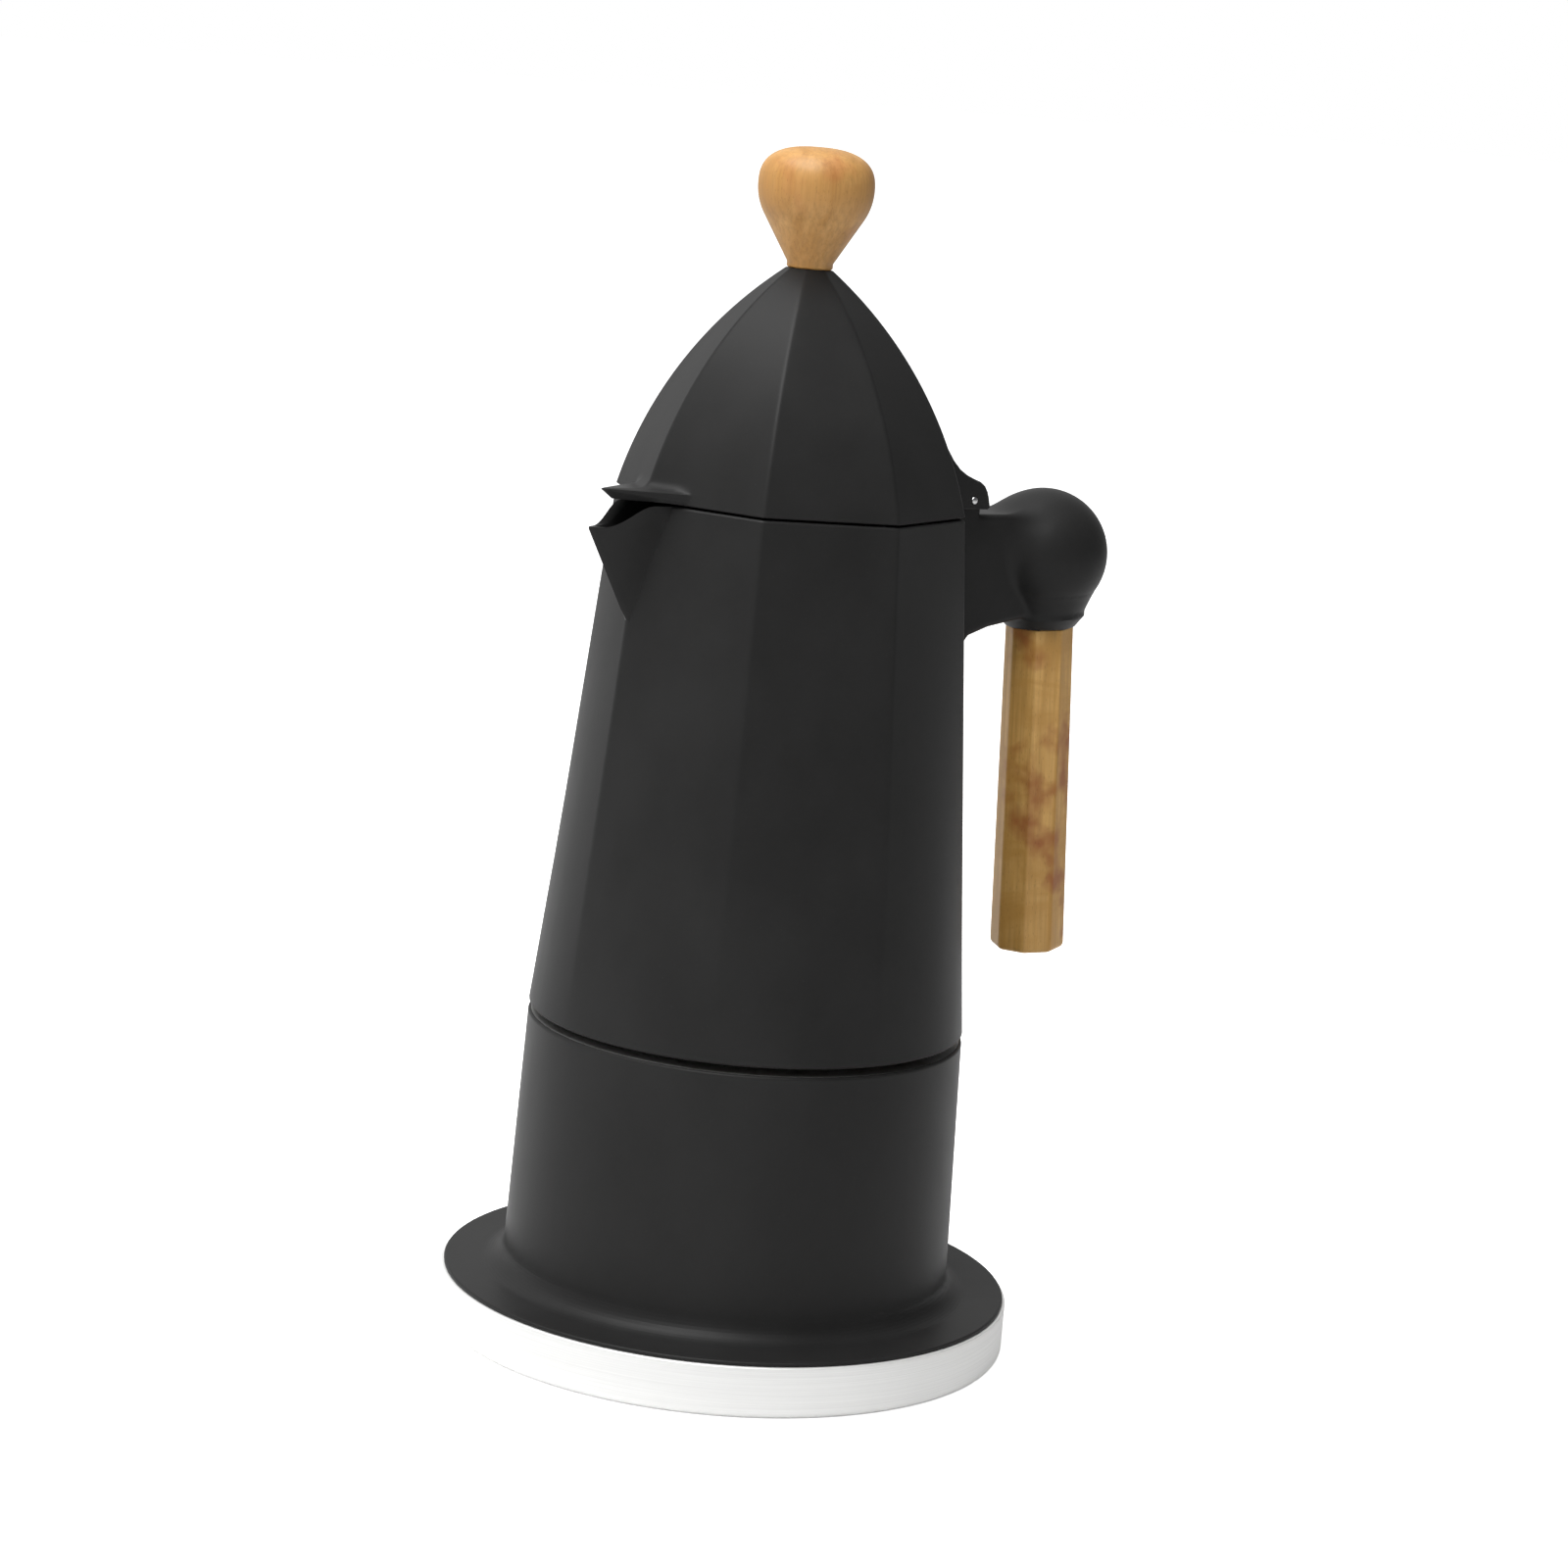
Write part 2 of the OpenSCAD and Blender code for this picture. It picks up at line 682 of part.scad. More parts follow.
module knob() {
    belly = [for (i = [1:12]) let (a = i * 90 / 12)
        [knob_belly_r * pow(cos(a), 2 / knob_power),
            knob_belly_z + (knob_top_z - knob_belly_z) * pow(sin(a), 2 / knob_power)]];
    arc_foot = -asin(knob_arc_drop / knob_arc_r);
    color(timber) difference() {
        rotate_extrude() polygon(concat(
            [[0, knob_z], [knob_neck_r, knob_z], [knob_neck_r, knob_z + knob_neck_h]],
            arc([knob_belly_r - knob_arc_r, knob_belly_z], knob_arc_r, arc_foot, 0, 6),
            belly));
        translate([0, 0, knob_z - reach]) cylinder(h = knob_screw_room + reach, r = knob_screw_r);
    }
}

module knob_screw() {
    color(steel) slotted_screw(knob_washer_z, knob_screw_l, knob_screw_r - turning_gap,
        knob_head_r, knob_head_h);
}

module knob_washer() {
    color(steel) ring(knob_washer_z, knob_washer_t, knob_washer_r, knob_screw_r);
}

base_cap();
heat_core();
boiler();
valve_body();
valve_seal();
valve_retainer();
valve_pin();
valve_spring();
funnel_basket();
funnel_sieve();
gasket();
filter_plate();
collector();
riser_column();
column_cap();
handle_arm();
arm_pins();
grip();
grip_screw();
grip_washer();
hinge_pin();
lid();
knob();
knob_screw();
knob_washer();
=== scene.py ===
import json
import math

import bmesh
import bpy
import numpy as np
from mathutils import Matrix, Vector
from mathutils.geometry import tessellate_polygon


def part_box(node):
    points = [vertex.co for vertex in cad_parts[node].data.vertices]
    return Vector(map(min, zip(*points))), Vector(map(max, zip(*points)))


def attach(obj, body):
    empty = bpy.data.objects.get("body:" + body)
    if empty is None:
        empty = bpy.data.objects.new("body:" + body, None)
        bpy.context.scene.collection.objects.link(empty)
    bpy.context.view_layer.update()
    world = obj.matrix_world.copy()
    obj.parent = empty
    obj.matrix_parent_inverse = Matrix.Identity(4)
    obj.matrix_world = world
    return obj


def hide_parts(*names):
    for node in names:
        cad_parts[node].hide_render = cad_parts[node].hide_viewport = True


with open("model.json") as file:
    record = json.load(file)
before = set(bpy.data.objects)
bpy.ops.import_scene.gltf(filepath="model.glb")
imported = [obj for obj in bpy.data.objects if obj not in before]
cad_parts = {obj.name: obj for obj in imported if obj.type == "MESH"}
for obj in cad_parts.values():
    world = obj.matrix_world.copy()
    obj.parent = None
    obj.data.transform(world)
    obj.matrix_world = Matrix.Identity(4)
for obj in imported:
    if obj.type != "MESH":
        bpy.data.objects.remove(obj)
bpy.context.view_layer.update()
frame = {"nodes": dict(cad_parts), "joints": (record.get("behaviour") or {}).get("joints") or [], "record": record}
MM = 0.001


def size(node, axis, side):
    """One face of a CAD node's box at rest, in millimetres."""
    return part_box(node)[side][axis] / MM


# The viewing angle. Angles in degrees, lengths in metres.
VIEW_AZIMUTH = -37.2
VIEW_ELEVATION = 18.2
VIEW_ROLL = 4.94
VIEW_DISTANCE = 0.85
VIEW_LENS = 90.75
AIM_HEIGHT = 0.1174
AIM_ASIDE = 0.00385

# Brightness of the surroundings on their dim side and on their bright side.
ROOM_DIM = 0.12
ROOM_BRIGHT = 0.68

# Extra brightness of the floor sheet in the picture, which keeps it as white as the room.
FLOOR_GLOW = 0.85

# Height in metres that the lights are aimed at.
LIGHT_AIM_HEIGHT = 0.12

# Sizes of the pot in millimetres. Where the CAD model's boxes give a size, it is read from them.
# The spout is 1 mm narrower to each side than the CAD's, because its sides bow outwards here.
BASE_R = size("base_cap", 0, 1)
BASE_H = size("base_cap", 2, 1)
CAP_T = 1.4
SKIRT_Z = size("collector", 2, 0)
SEAM_R = 45.6
RIM_Z = 175.9
RIM_R = 36.4
WALL = 2.4
SKIRT_BORE_R = 40
RECESS_R = 37.1
CHAMBER_R = 31
COLUMN_R = 7
GASKET_Z = size("gasket", 2, 0)
CHAMBER_TOP_Z = size("riser_column", 2, 0)
RECESS_TOP_Z = CHAMBER_TOP_Z - 3
FLOOR_Z = CHAMBER_TOP_Z + 2.6
SPOUT_R = -size("collector", 0, 0)
SPOUT_TIP_Z = 171.1
SPOUT_ROOT_Z = 151.8
SPOUT_HALF_W = 5.8
LID_Z = RIM_Z + 0.5
LID_T = 1.6
CROWN_Z = 223.7
CROWN_R = 4.9
CROWN_T = 3
CROWN_ARC_R = 85.8
VISOR_REACH = -size("lid", 0, 0)
VISOR_HALF_W = 8.8
VISOR_Z = 176.7
VISOR_TOP_Z = 178.8
HINGE = next(joint for joint in frame["joints"] if joint["name"] == "lid_hinge")
HINGE_X = HINGE["pos_m"][0] / MM
HINGE_Z = HINGE["pos_m"][2] / MM
HINGE_R = 4.3
PIN_R = 1.5
PIN_END_R = 0.8
SCREW_R = 1.5
SEAM_Z = 66.4
NECK_R = 37.2
ARM_HALF_W = 5.4
ARM_TOP_Z = 174.2
ARM_FOOT_Z = 142.1
SPINE_HALF_W = 3
SPINE_X = 46.8
BALL_X = 69.5
BALL_Z = 165.2
BALL_R = 14
GRIP_LEAN = 4.2
GRIP_TOP = -15.9
GRIP_FOOT = -87.9
GRIP_TOP_R = 7.4
GRIP_FOOT_R = 8.15
KNOB_Z = size("knob", 2, 0)
KNOB_TOP_Z = size("knob", 2, 1)


# --- Node trees --------------------------------------------------------------------------------
class Graph:
    """A node tree with short calls for the few nodes that the materials share."""

    def __init__(self, tree):
        self.tree = tree

    def add(self, kind, **settings):
        node = self.tree.nodes.new(kind)
        for name, value in settings.items():
            setattr(node, name, value)
        return node

    def link(self, source, target):
        self.tree.links.new(source, target)

    def place(self, scale=(1, 1, 1), turn=(0, 0, 0)):
        """Object coordinates in millimetres, stretched by scale after a turn in degrees."""
        turned = self.add("ShaderNodeMapping", vector_type="TEXTURE")
        self.link(self.add("ShaderNodeTexCoord").outputs["Object"], turned.inputs["Vector"])
        turned.inputs["Rotation"].default_value = [math.radians(angle) for angle in turn]
        scaled = self.add("ShaderNodeMapping")
        self.link(turned.outputs["Vector"], scaled.inputs["Vector"])
        scaled.inputs["Scale"].default_value = [part / MM for part in scale]
        return scaled.outputs["Vector"]

    def noise(self, vector, scale, detail=2.0, rough=0.5, warp=0.0):
        node = self.add("ShaderNodeTexNoise")
        self.link(vector, node.inputs["Vector"])
        node.inputs["Scale"].default_value = scale
        node.inputs["Detail"].default_value = detail
        node.inputs["Roughness"].default_value = rough
        node.inputs["Distortion"].default_value = warp
        return node.outputs["Fac"]

    def spots(self, vector, scale):
        node = self.add("ShaderNodeTexVoronoi")
        self.link(vector, node.inputs["Vector"])
        node.inputs["Scale"].default_value = scale
        return node.outputs["Distance"]

    def ramp(self, value, stops):
        """Colours or greys at the given places between 0 and 1."""
        node = self.add("ShaderNodeValToRGB")
        self.link(value, node.inputs["Fac"])
        line = node.color_ramp.elements
        while len(line) < len(stops):
            line.new(0.5)
        for element, (place, colour) in zip(line, stops):
            element.position = place
            element.color = (*colour, 1) if isinstance(colour, tuple) else (colour, colour, colour, 1)
        return node.outputs["Color"]

    def mix(self, share, first, second, mode="MIX"):
        node = self.add("ShaderNodeMix", data_type="RGBA", blend_type=mode)
        for socket, source in ((node.inputs["Factor"], share), (node.inputs["A"], first),
                               (node.inputs["B"], second)):
            if isinstance(source, bpy.types.NodeSocket):
                self.link(source, socket)
            else:
                socket.default_value = source
        return node.outputs["Result"]

    def bump(self, height, strength, depth, before=None):
        """A bump of the given depth in millimetres, on top of an earlier one."""
        node = self.add("ShaderNodeBump")
        node.inputs["Strength"].default_value = strength
        node.inputs["Distance"].default_value = depth * MM
        self.link(height, node.inputs["Height"])
        if before is not None:
            self.link(before, node.inputs["Normal"])
        return node.outputs["Normal"]


# --- Camera, lights and room -------------------------------------------------------------------
def from_camera_side(azimuth, elevation, distance):
    """A point round the pot, with azimuth 0 in front of it on -Y."""
    a, e = math.radians(azimuth), math.radians(elevation)
    return Vector((math.sin(a) * math.cos(e), -math.cos(a) * math.cos(e), math.sin(e))) * distance


def make_camera():
    data = bpy.data.cameras.new("camera")
    data.lens = VIEW_LENS
    data.sensor_width = 36
    data.clip_start = 0.01
    data.clip_end = 50
    camera = bpy.data.objects.new("camera", data)
    bpy.context.scene.collection.objects.link(camera)
    place = from_camera_side(VIEW_AZIMUTH, VIEW_ELEVATION, VIEW_DISTANCE)
    a = math.radians(VIEW_AZIMUTH)
    aside = Vector((math.cos(a), math.sin(a), 0)) * AIM_ASIDE
    forward = (aside + Vector((0, 0, AIM_HEIGHT)) - place).normalized()
    level = forward.cross(Vector((0, 0, 1))).normalized()
    rise = level.cross(forward)
    roll = math.radians(VIEW_ROLL)
    right = level * math.cos(roll) + rise * math.sin(roll)
    up = rise * math.cos(roll) - level * math.sin(roll)
    turn = Matrix((right, up, -forward)).transposed().to_4x4()
    camera.matrix_world = Matrix.Translation(place) @ turn
    bpy.context.scene.camera = camera


def area_light(name, azimuth, elevation, distance, extent, watts):
    """A softbox placed by angles from the camera, aimed at the pot's axis."""
    data = bpy.data.lights.new(name, "AREA")
    data.shape = "RECTANGLE"
    data.size, data.size_y = extent
    data.energy = watts
    light = bpy.data.objects.new(name, data)
    bpy.context.scene.collection.objects.link(light)
    light.location = from_camera_side(VIEW_AZIMUTH + azimuth, elevation, distance)
    target = Vector((0, 0, LIGHT_AIM_HEIGHT))
    light.rotation_euler = (light.location - target).to_track_quat("Z", "Y").to_euler()


def make_lights():
    area_light("softbox_left", azimuth=-115, elevation=20, distance=1.1, extent=(0.4, 1.0), watts=0.6)
    area_light("overhead", azimuth=-70, elevation=74, distance=1.3, extent=(0.8, 0.8), watts=14)
    area_light("key", azimuth=-20, elevation=60, distance=1.5, extent=(0.5, 0.5), watts=10)


def make_room():
    """Surroundings brighter to the left of and behind the pot, which the camera sees as plain white."""
    world = bpy.data.worlds.new("studio")
    world.use_nodes = True
    graph = Graph(world.node_tree)
    bright_side = from_camera_side(VIEW_AZIMUTH - 105, 0, 1)
    facing = graph.add("ShaderNodeVectorMath", operation="DOT_PRODUCT")
    graph.link(graph.add("ShaderNodeTexCoord").outputs["Generated"], facing.inputs[0])
    facing.inputs[1].default_value = bright_side
    spread = graph.add("ShaderNodeMapRange", interpolation_type="SMOOTHSTEP")
    graph.link(facing.outputs["Value"], spread.inputs["Value"])
    spread.inputs["From Min"].default_value = -0.8
    spread.inputs["From Max"].default_value = 0.4
    spread.inputs["To Min"].default_value = ROOM_DIM
    spread.inputs["To Max"].default_value = ROOM_BRIGHT
    lit = graph.tree.nodes["Background"]
    graph.link(spread.outputs["Result"], lit.inputs["Strength"])
    seen = graph.add("ShaderNodeBackground")
    for background in (lit, seen):
        background.inputs["Color"].default_value = (1, 1, 1, 1)
    mix = graph.add("ShaderNodeMixShader")
    graph.link(graph.add("ShaderNodeLightPath").outputs["Is Camera Ray"], mix.inputs["Fac"])
    graph.link(lit.outputs["Background"], mix.inputs[1])
    graph.link(seen.outputs["Background"], mix.inputs[2])
    graph.link(mix.outputs["Shader"], graph.tree.nodes["World Output"].inputs["Surface"])
    bpy.context.scene.world = world


def make_floor():
    """A pale sheet that runs far past the view in every direction."""
    bpy.ops.mesh.primitive_plane_add(size=40, location=(0, 0, 0))
    floor = bpy.context.object
    floor.name = "floor"
    material = bpy.data.materials.new("floor_paper")
    material.use_nodes = True
    shader = material.node_tree.nodes["Principled BSDF"]
    shader.inputs["Base Color"].default_value = (0.85, 0.85, 0.85, 1)
    shader.inputs["Roughness"].default_value = 0.95
    shader.inputs["Specular IOR Level"].default_value = 0
    shader.inputs["Emission Color"].default_value = (1, 1, 1, 1)
    graph = Graph(material.node_tree)
    glow = graph.add("ShaderNodeMath", operation="MULTIPLY")
    graph.link(graph.add("ShaderNodeLightPath").outputs["Is Camera Ray"], glow.inputs[0])
    glow.inputs[1].default_value = FLOOR_GLOW
    graph.link(glow.outputs["Value"], shader.inputs["Emission Strength"])
    floor.data.materials.append(material)


# --- Materials ---------------------------------------------------------------------------------
# Textures read object coordinates, which are metres in the pot's own frame, scaled to millimetres.
# Every place call gives the texture's detail per millimetre along X, Y and Z.
COATING = ((0.014, 0.0139, 0.0138, 1), (0.0175, 0.0174, 0.0173, 1))
COATING_FLECK = (0.026, 0.026, 0.0255, 1)
CASTING = ((0.72, 0.72, 0.71, 1), (0.5, 0.49, 0.46, 1))
SEAL = ((0.78, 0.77, 0.71, 1), (0.7, 0.68, 0.6, 1))
STEEL = ((0.8, 0.8, 0.79), (0.72, 0.72, 0.71))
HARDWARE = ((0.66, 0.66, 0.66), (0.45, 0.45, 0.45))
BRASS = ((0.78, 0.6, 0.28), (0.55, 0.4, 0.16))
KNOB_BEECH = ((0.52, 0.285, 0.095), (0.4, 0.2, 0.055), (0.36, 0.12, 0.04))
GRIP_BEECH = ((0.57, 0.335, 0.105), (0.42, 0.225, 0.055), (0.27, 0.085, 0.022))


def grey(level):
    return (level, level, level, 1)


def new_material(name, metallic, specular=0.5):
    material = bpy.data.materials.new(name)
    material.use_nodes = True
    graph = Graph(material.node_tree)
    graph.shader = material.node_tree.nodes["Principled BSDF"]
    graph.shader.inputs["Metallic"].default_value = metallic
    graph.shader.inputs["Specular IOR Level"].default_value = specular
    return material, graph


def finish_material(graph, colour, roughness, normal):
    graph.link(colour, graph.shader.inputs["Base Color"])
    graph.link(roughness, graph.shader.inputs["Roughness"])
    graph.link(normal, graph.shader.inputs["Normal"])


def black_coating():
    """Satin black coating: a fine sprayed grain with paler flecks, and faint cloudiness."""
    material, graph = new_material("black_coating", 0, 0.12)
    grain = graph.noise(graph.place((3.4, 3.4, 3.4)), 1, 3, 0.6)
    peel = graph.noise(graph.place((0.8, 0.8, 0.8)), 1, 2)
    cloud = graph.noise(graph.place((0.05, 0.05, 0.04)), 1, 3)
    colour = graph.mix(graph.ramp(cloud, [(0.35, 0.0), (0.7, 1.0)]), *COATING)
    fleck = graph.ramp(grain, [(0.66, 0.0), (0.74, 1.0)])
    colour = graph.mix(fleck, colour, COATING_FLECK)
    roughness = graph.mix(cloud, grey(0.36), grey(0.5))
    normal = graph.bump(peel, 0.12, 0.05)
    normal = graph.bump(grain, 0.3, 0.02, normal)
    finish_material(graph, colour, roughness, normal)
    return material


def turned_metal(name, colour, deep, metallic, roughness, lines_per_mm, line_bump=0.35):
    """Metal with fine turning lines round the pot's axis, broken up by a soft cloudiness."""
    material, graph = new_material(name, metallic)
    rings = graph.noise(graph.place((0.02, 0.02, lines_per_mm)), 1, 4, 0.7)
    cloud = graph.noise(graph.place((0.06, 0.06, 0.06)), 1, 3)
    scratch = graph.noise(graph.place((0.25, 0.25, 7)), 1, 2, 0.6, 0.4)
    tone = graph.mix(graph.ramp(rings, [(0.35, 0.0), (0.65, 1.0)]), (*deep, 1), (*colour, 1))
    tone = graph.mix(graph.ramp(scratch, [(0.7, 0.0), (0.78, 0.5)]), tone, (*deep, 1))
    rough = graph.mix(cloud, grey(roughness - 0.06), grey(roughness + 0.1))
    finish_material(graph, tone, rough, graph.bump(rings, line_bump, 0.02))
    return material


def cast_aluminium():
    """Bare casting: a fine sand texture with darker stains."""
    material, graph = new_material("cast_aluminium", 0.9)
    sand = graph.noise(graph.place((2.2, 2.2, 2.2)), 1, 4, 0.6)
    stain = graph.noise(graph.place((0.09, 0.09, 0.05)), 1, 4, 0.6)
    colour = graph.mix(graph.ramp(stain, [(0.4, 0.0), (0.72, 1.0)]), *CASTING)
    roughness = graph.mix(sand, grey(0.34), grey(0.55))
    finish_material(graph, colour, roughness, graph.bump(sand, 0.35, 0.04))
    return material


def silicone():
    """Off-white seal with a dusting of fine specks."""
    material, graph = new_material("seal_silicone", 0)
    speck = graph.noise(graph.place((4, 4, 4)), 1, 3)
    cloud = graph.noise(graph.place((0.15, 0.15, 0.15)), 1, 2)
    colour = graph.mix(cloud, *SEAL)
    roughness = graph.mix(speck, grey(0.5), grey(0.68))
    finish_material(graph, colour, roughness, graph.bump(speck, 0.25, 0.02))
    return material


def wood(name, lean, pale, dark, red, bands):
    """Lacquered beech. The grain runs along Z after a lean, with pores, soft bands and red flecks."""
    gloss = 0.42
    material, graph = new_material(name, 0, 0.3)
    turn = (0, -lean, 0)
    fibre = graph.noise(graph.place((1.5, 1.5, 0.05), turn), 1, 4, 0.62, 0.25)
    growth = graph.noise(graph.place((0.3, 0.16, 0.013), turn), 1, 3, 0.55, 0.9)
    pores = graph.spots(graph.place((3.2, 3.2, 0.42), turn), 1)
    figure = graph.noise(graph.place((0.035, 0.05, 0.11), turn), 1, 4, 0.6, 0.6)
    blotch = graph.noise(graph.place((0.09, 0.09, 0.075), turn), 1, 3, 0.5)
    colour = graph.mix(graph.ramp(growth, [(0.36, 0.0), (0.64, 1.0)]), (*pale, 1), (*dark, 1))
    fine = graph.ramp(fibre, [(0.3, 0.72), (0.55, 1.0), (0.75, 1.1)])
    colour = graph.mix(0.8, colour, fine, "MULTIPLY")
    banded = graph.ramp(figure, [(0.44, 0.0), (0.62, bands)])
    colour = graph.mix(banded, colour, (*dark, 1))
    reddened = graph.ramp(blotch, [(0.56, 0.0), (0.68, bands)])
    colour = graph.mix(reddened, colour, (*red, 1))
    pored = graph.ramp(pores, [(0.1, 0.55), (0.2, 1.0)])
    colour = graph.mix(0.7, colour, pored, "MULTIPLY")
    roughness = graph.mix(fibre, grey(gloss - 0.07), grey(gloss + 0.12))
    normal = graph.bump(fibre, 0.25, 0.05)
    normal = graph.bump(pored, 0.3, 0.05, normal)
    finish_material(graph, colour, roughness, normal)
    return material


def make_materials():
    """One material for each of the record's slots."""
    return {
        "black_paint": black_coating(),
        "satin_steel": turned_metal("satin_steel", *STEEL, metallic=0.45, roughness=0.45,
                                    lines_per_mm=5, line_bump=0.1),
        "bare_aluminium": cast_aluminium(),
        "valve_brass": turned_metal("turned_brass", *BRASS, metallic=1, roughness=0.28,
                                    lines_per_mm=3),
        "seal_silicone": silicone(),
        "hardware_steel": turned_metal("drawn_steel", *HARDWARE, metallic=1, roughness=0.26,
                                       lines_per_mm=4),
        "knob_wood": wood("knob_wood", 0, *KNOB_BEECH, bands=0.5),
        "grip_wood": wood("grip_wood", GRIP_LEAN, *GRIP_BEECH, bands=0.85),
    }


# --- Mesh helpers ------------------------------------------------------------------------------
SHARP_ANGLE = 32
MERGE_DISTANCE = 1e-7

# Material numbers on pieces that are coated outside and bare inside.
COATED = 0
BARE = 1


def make_piece(name, body, replaced, shells, materials):
    """One object from closed shells of (points in mm, faces, material number of each face)."""
    points, faces, picks = [], [], []
    for shell_points, shell_faces, shell_picks in shells:
        faces += [[corner + len(points) for corner in face] for face in shell_faces]
        picks += shell_picks
        points += [tuple(point) for point in shell_points]
    mesh = bpy.data.meshes.new(name)
    mesh.from_pydata([(x * MM, y * MM, z * MM) for x, y, z in points], [], faces)
    for material in materials:
        mesh.materials.append(material)
    mesh.polygons.foreach_set("material_index", picks)
    work = bmesh.new()
    work.from_mesh(mesh)
    bmesh.ops.remove_doubles(work, verts=work.verts, dist=MERGE_DISTANCE)
    bmesh.ops.recalc_face_normals(work, faces=work.faces)
    work.to_mesh(mesh)
    work.free()
    shade(mesh)
    piece = bpy.data.objects.new(name, mesh)
    bpy.context.scene.collection.objects.link(piece)
    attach(piece, body)
    if replaced:
        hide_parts(replaced)
    return piece


def shade(mesh):
    """Smooth shading, with creases kept where faces meet at more than the sharp angle."""
    mesh.shade_smooth()
    mesh.set_sharp_from_angle(angle=math.radians(SHARP_ANGLE))


def ring_shell(rings, picks=None, closed=True):
    """A shell through rings of equally many points, joined last to first if it is closed."""
    n = len(rings[0])
    points = [point for ring in rings for point in ring]
    faces, numbers = [], []
    for k in range(len(rings) if closed else len(rings) - 1):
        after = (k + 1) % len(rings)
        for i in range(n):
            j = (i + 1) % n
            faces.append([k * n + i, k * n + j, after * n + j, after * n + i])
            numbers.append(picks[k] if picks else 0)
    return points, faces, numbers


def revolve(profile, segments, place=None, closed=True):
    """A profile of (radius, height) points turned about the Z axis."""
    turns = [2 * math.pi * i / segments for i in range(segments)]
    rings = [[(r * math.cos(a), r * math.sin(a), z) for a in turns] for r, z in profile]
    points, faces, numbers = ring_shell(rings, closed=closed)
    if place:
        points = [place(*point) for point in points]
    return points, faces, numbers


def slab(outline, y_low, y_high, edge, hole=()):
    """An X-Z outline with a thickness across Y, bevelled edges and perhaps a bore."""
    inner = [inset(outline, i, edge) for i in range(len(outline))]
    steps = [(inner, y_low), (outline, y_low + edge), (outline, y_high - edge), (inner, y_high)]
    rings = [[(x, y, z) for x, z in ring] for ring, y in steps]
    points, faces, _ = ring_shell(rings, closed=False)
    n, m = len(outline), len(hole)
    points += [(x, y, z) for y in (y_low, y_high) for x, z in hole]
    faces += [[4 * n + j, 4 * n + (j + 1) % m, 4 * n + m + (j + 1) % m, 4 * n + m + j]
              for j in range(m)]
    loops = [[Vector((x, z, 0)) for x, z in loop] for loop in (inner, hole) if loop]
    for triangle in tessellate_polygon(loops):
        faces.append([i if i < n else 3 * n + i for i in triangle])
        faces.append([3 * n + i if i < n else 3 * n + m + i for i in triangle])
    return points, faces, [0] * len(faces)


def inset(outline, i, depth):
    """A corner of an anticlockwise outline, moved inwards by a depth from both of its edges."""
    before, here, after = (Vector(outline[(i + k) % len(outline)]) for k in (-1, 0, 1))
    one, two = (here - before).normalized(), (after - here).normalized()
    normals = [Vector((-one.y, one.x)), Vector((-two.y, two.x))]
    lean = normals[0] + normals[1]
    sharpest = 0.3
    return tuple(here + lean * depth / max(sharpest, 1 + normals[0].dot(normals[1])))


def arc(centre, radius, start, end, steps):
    """Points on an arc, its angles in degrees."""
    turns = [math.radians(start + (end - start) * k / steps) for k in range(steps + 1)]
    return [(centre[0] + radius * math.cos(a), centre[1] + radius * math.sin(a)) for a in turns]


def blend(low, high, share):
    return low + (high - low) * share


def clamp(value):
    return min(1.0, max(0.0, value))


# --- The eight-sided body ----------------------------------------------------------------------
# Angles in degrees: from one corner to the next, and to each side of the spout that it may reach.
FACET_TURN = 45
HALF_FACET = FACET_TURN / 2
SPOUT_SPAN = 17

# How far the faces beside a corner fall back for each millimetre sideways: about tan(HALF_FACET).
FACET_SLOPE = 0.414

# Rounding of corners and of the lines of the spout and lip, and the spout's wall against WALL.
EDGE_R = 1.3
WEDGE_SOFTNESS = 0.008
BOW_SOFTNESS = 0.006
SPOUT_BLEND = 0.5
SPOUT_WALL_SHARE = 0.62
SPOUT_LEAST_HALF_W = 0.3

# The part of the spout's side, from its tip, over which its mouth rises to the rim.
MOUTH_START = 0.1
MOUTH_RUN = 0.68

SEAM_GAP = 1.7
THREAD_PITCH = 3
THREAD_START = 2.8
THREAD_CREST_R = 38.2
THREAD_TURNS = 2


def compass():
    """Angles round the body in degrees: close together at the corners and across the spout."""
    near_corner = (-1.5, -1, -0.5, 0, 0.5, 1, 1.5)
    across_face = (4, 7.5, 11, 15, 19, 22.5, 26, 30, 34, 37.5, 41)
    angles = [k * FACET_TURN + step for k in range(8) for step in near_corner + across_face]
    angles = [a % 360 for a in angles if abs((a % 360) - 180) > SPOUT_SPAN]
    angles += [180 + k * 0.5 for k in range(-2 * SPOUT_SPAN, 2 * SPOUT_SPAN + 1)]
    return sorted(angles)


COMPASS = compass()


def octagon(corner_r, a, edge=EDGE_R):
    """Reach at angle a of an octagon whose corners are rounded by an edge radius."""
    off = abs((a + HALF_FACET) % FACET_TURN - HALF_FACET)
    half = math.radians(HALF_FACET)
    flat = corner_r * math.cos(half) / math.cos(half - math.radians(off))
    middle = corner_r - edge / math.cos(half)
    tangent = math.atan2(edge * math.sin(half), middle + edge * math.cos(half))
    off = math.radians(off)
    if off >= tangent:
        return flat
    return middle * math.cos(off) + math.sqrt(edge ** 2 - (middle * math.sin(off)) ** 2)


def softened(slope, softness):
    """A slope with a soft start, which rounds the keel of a V."""
    return math.sqrt(slope ** 2 + softness ** 2) - softness


def wedge(a, keel, crease, half_w):
    """Reach at angle a of a V whose keel points along -X, with its sides at half_w from it."""
    off = math.radians(abs(a - 180))
    run = softened(math.sin(off), WEDGE_SOFTNESS)
    return keel / (math.cos(off) + (keel - crease) / half_w * run)


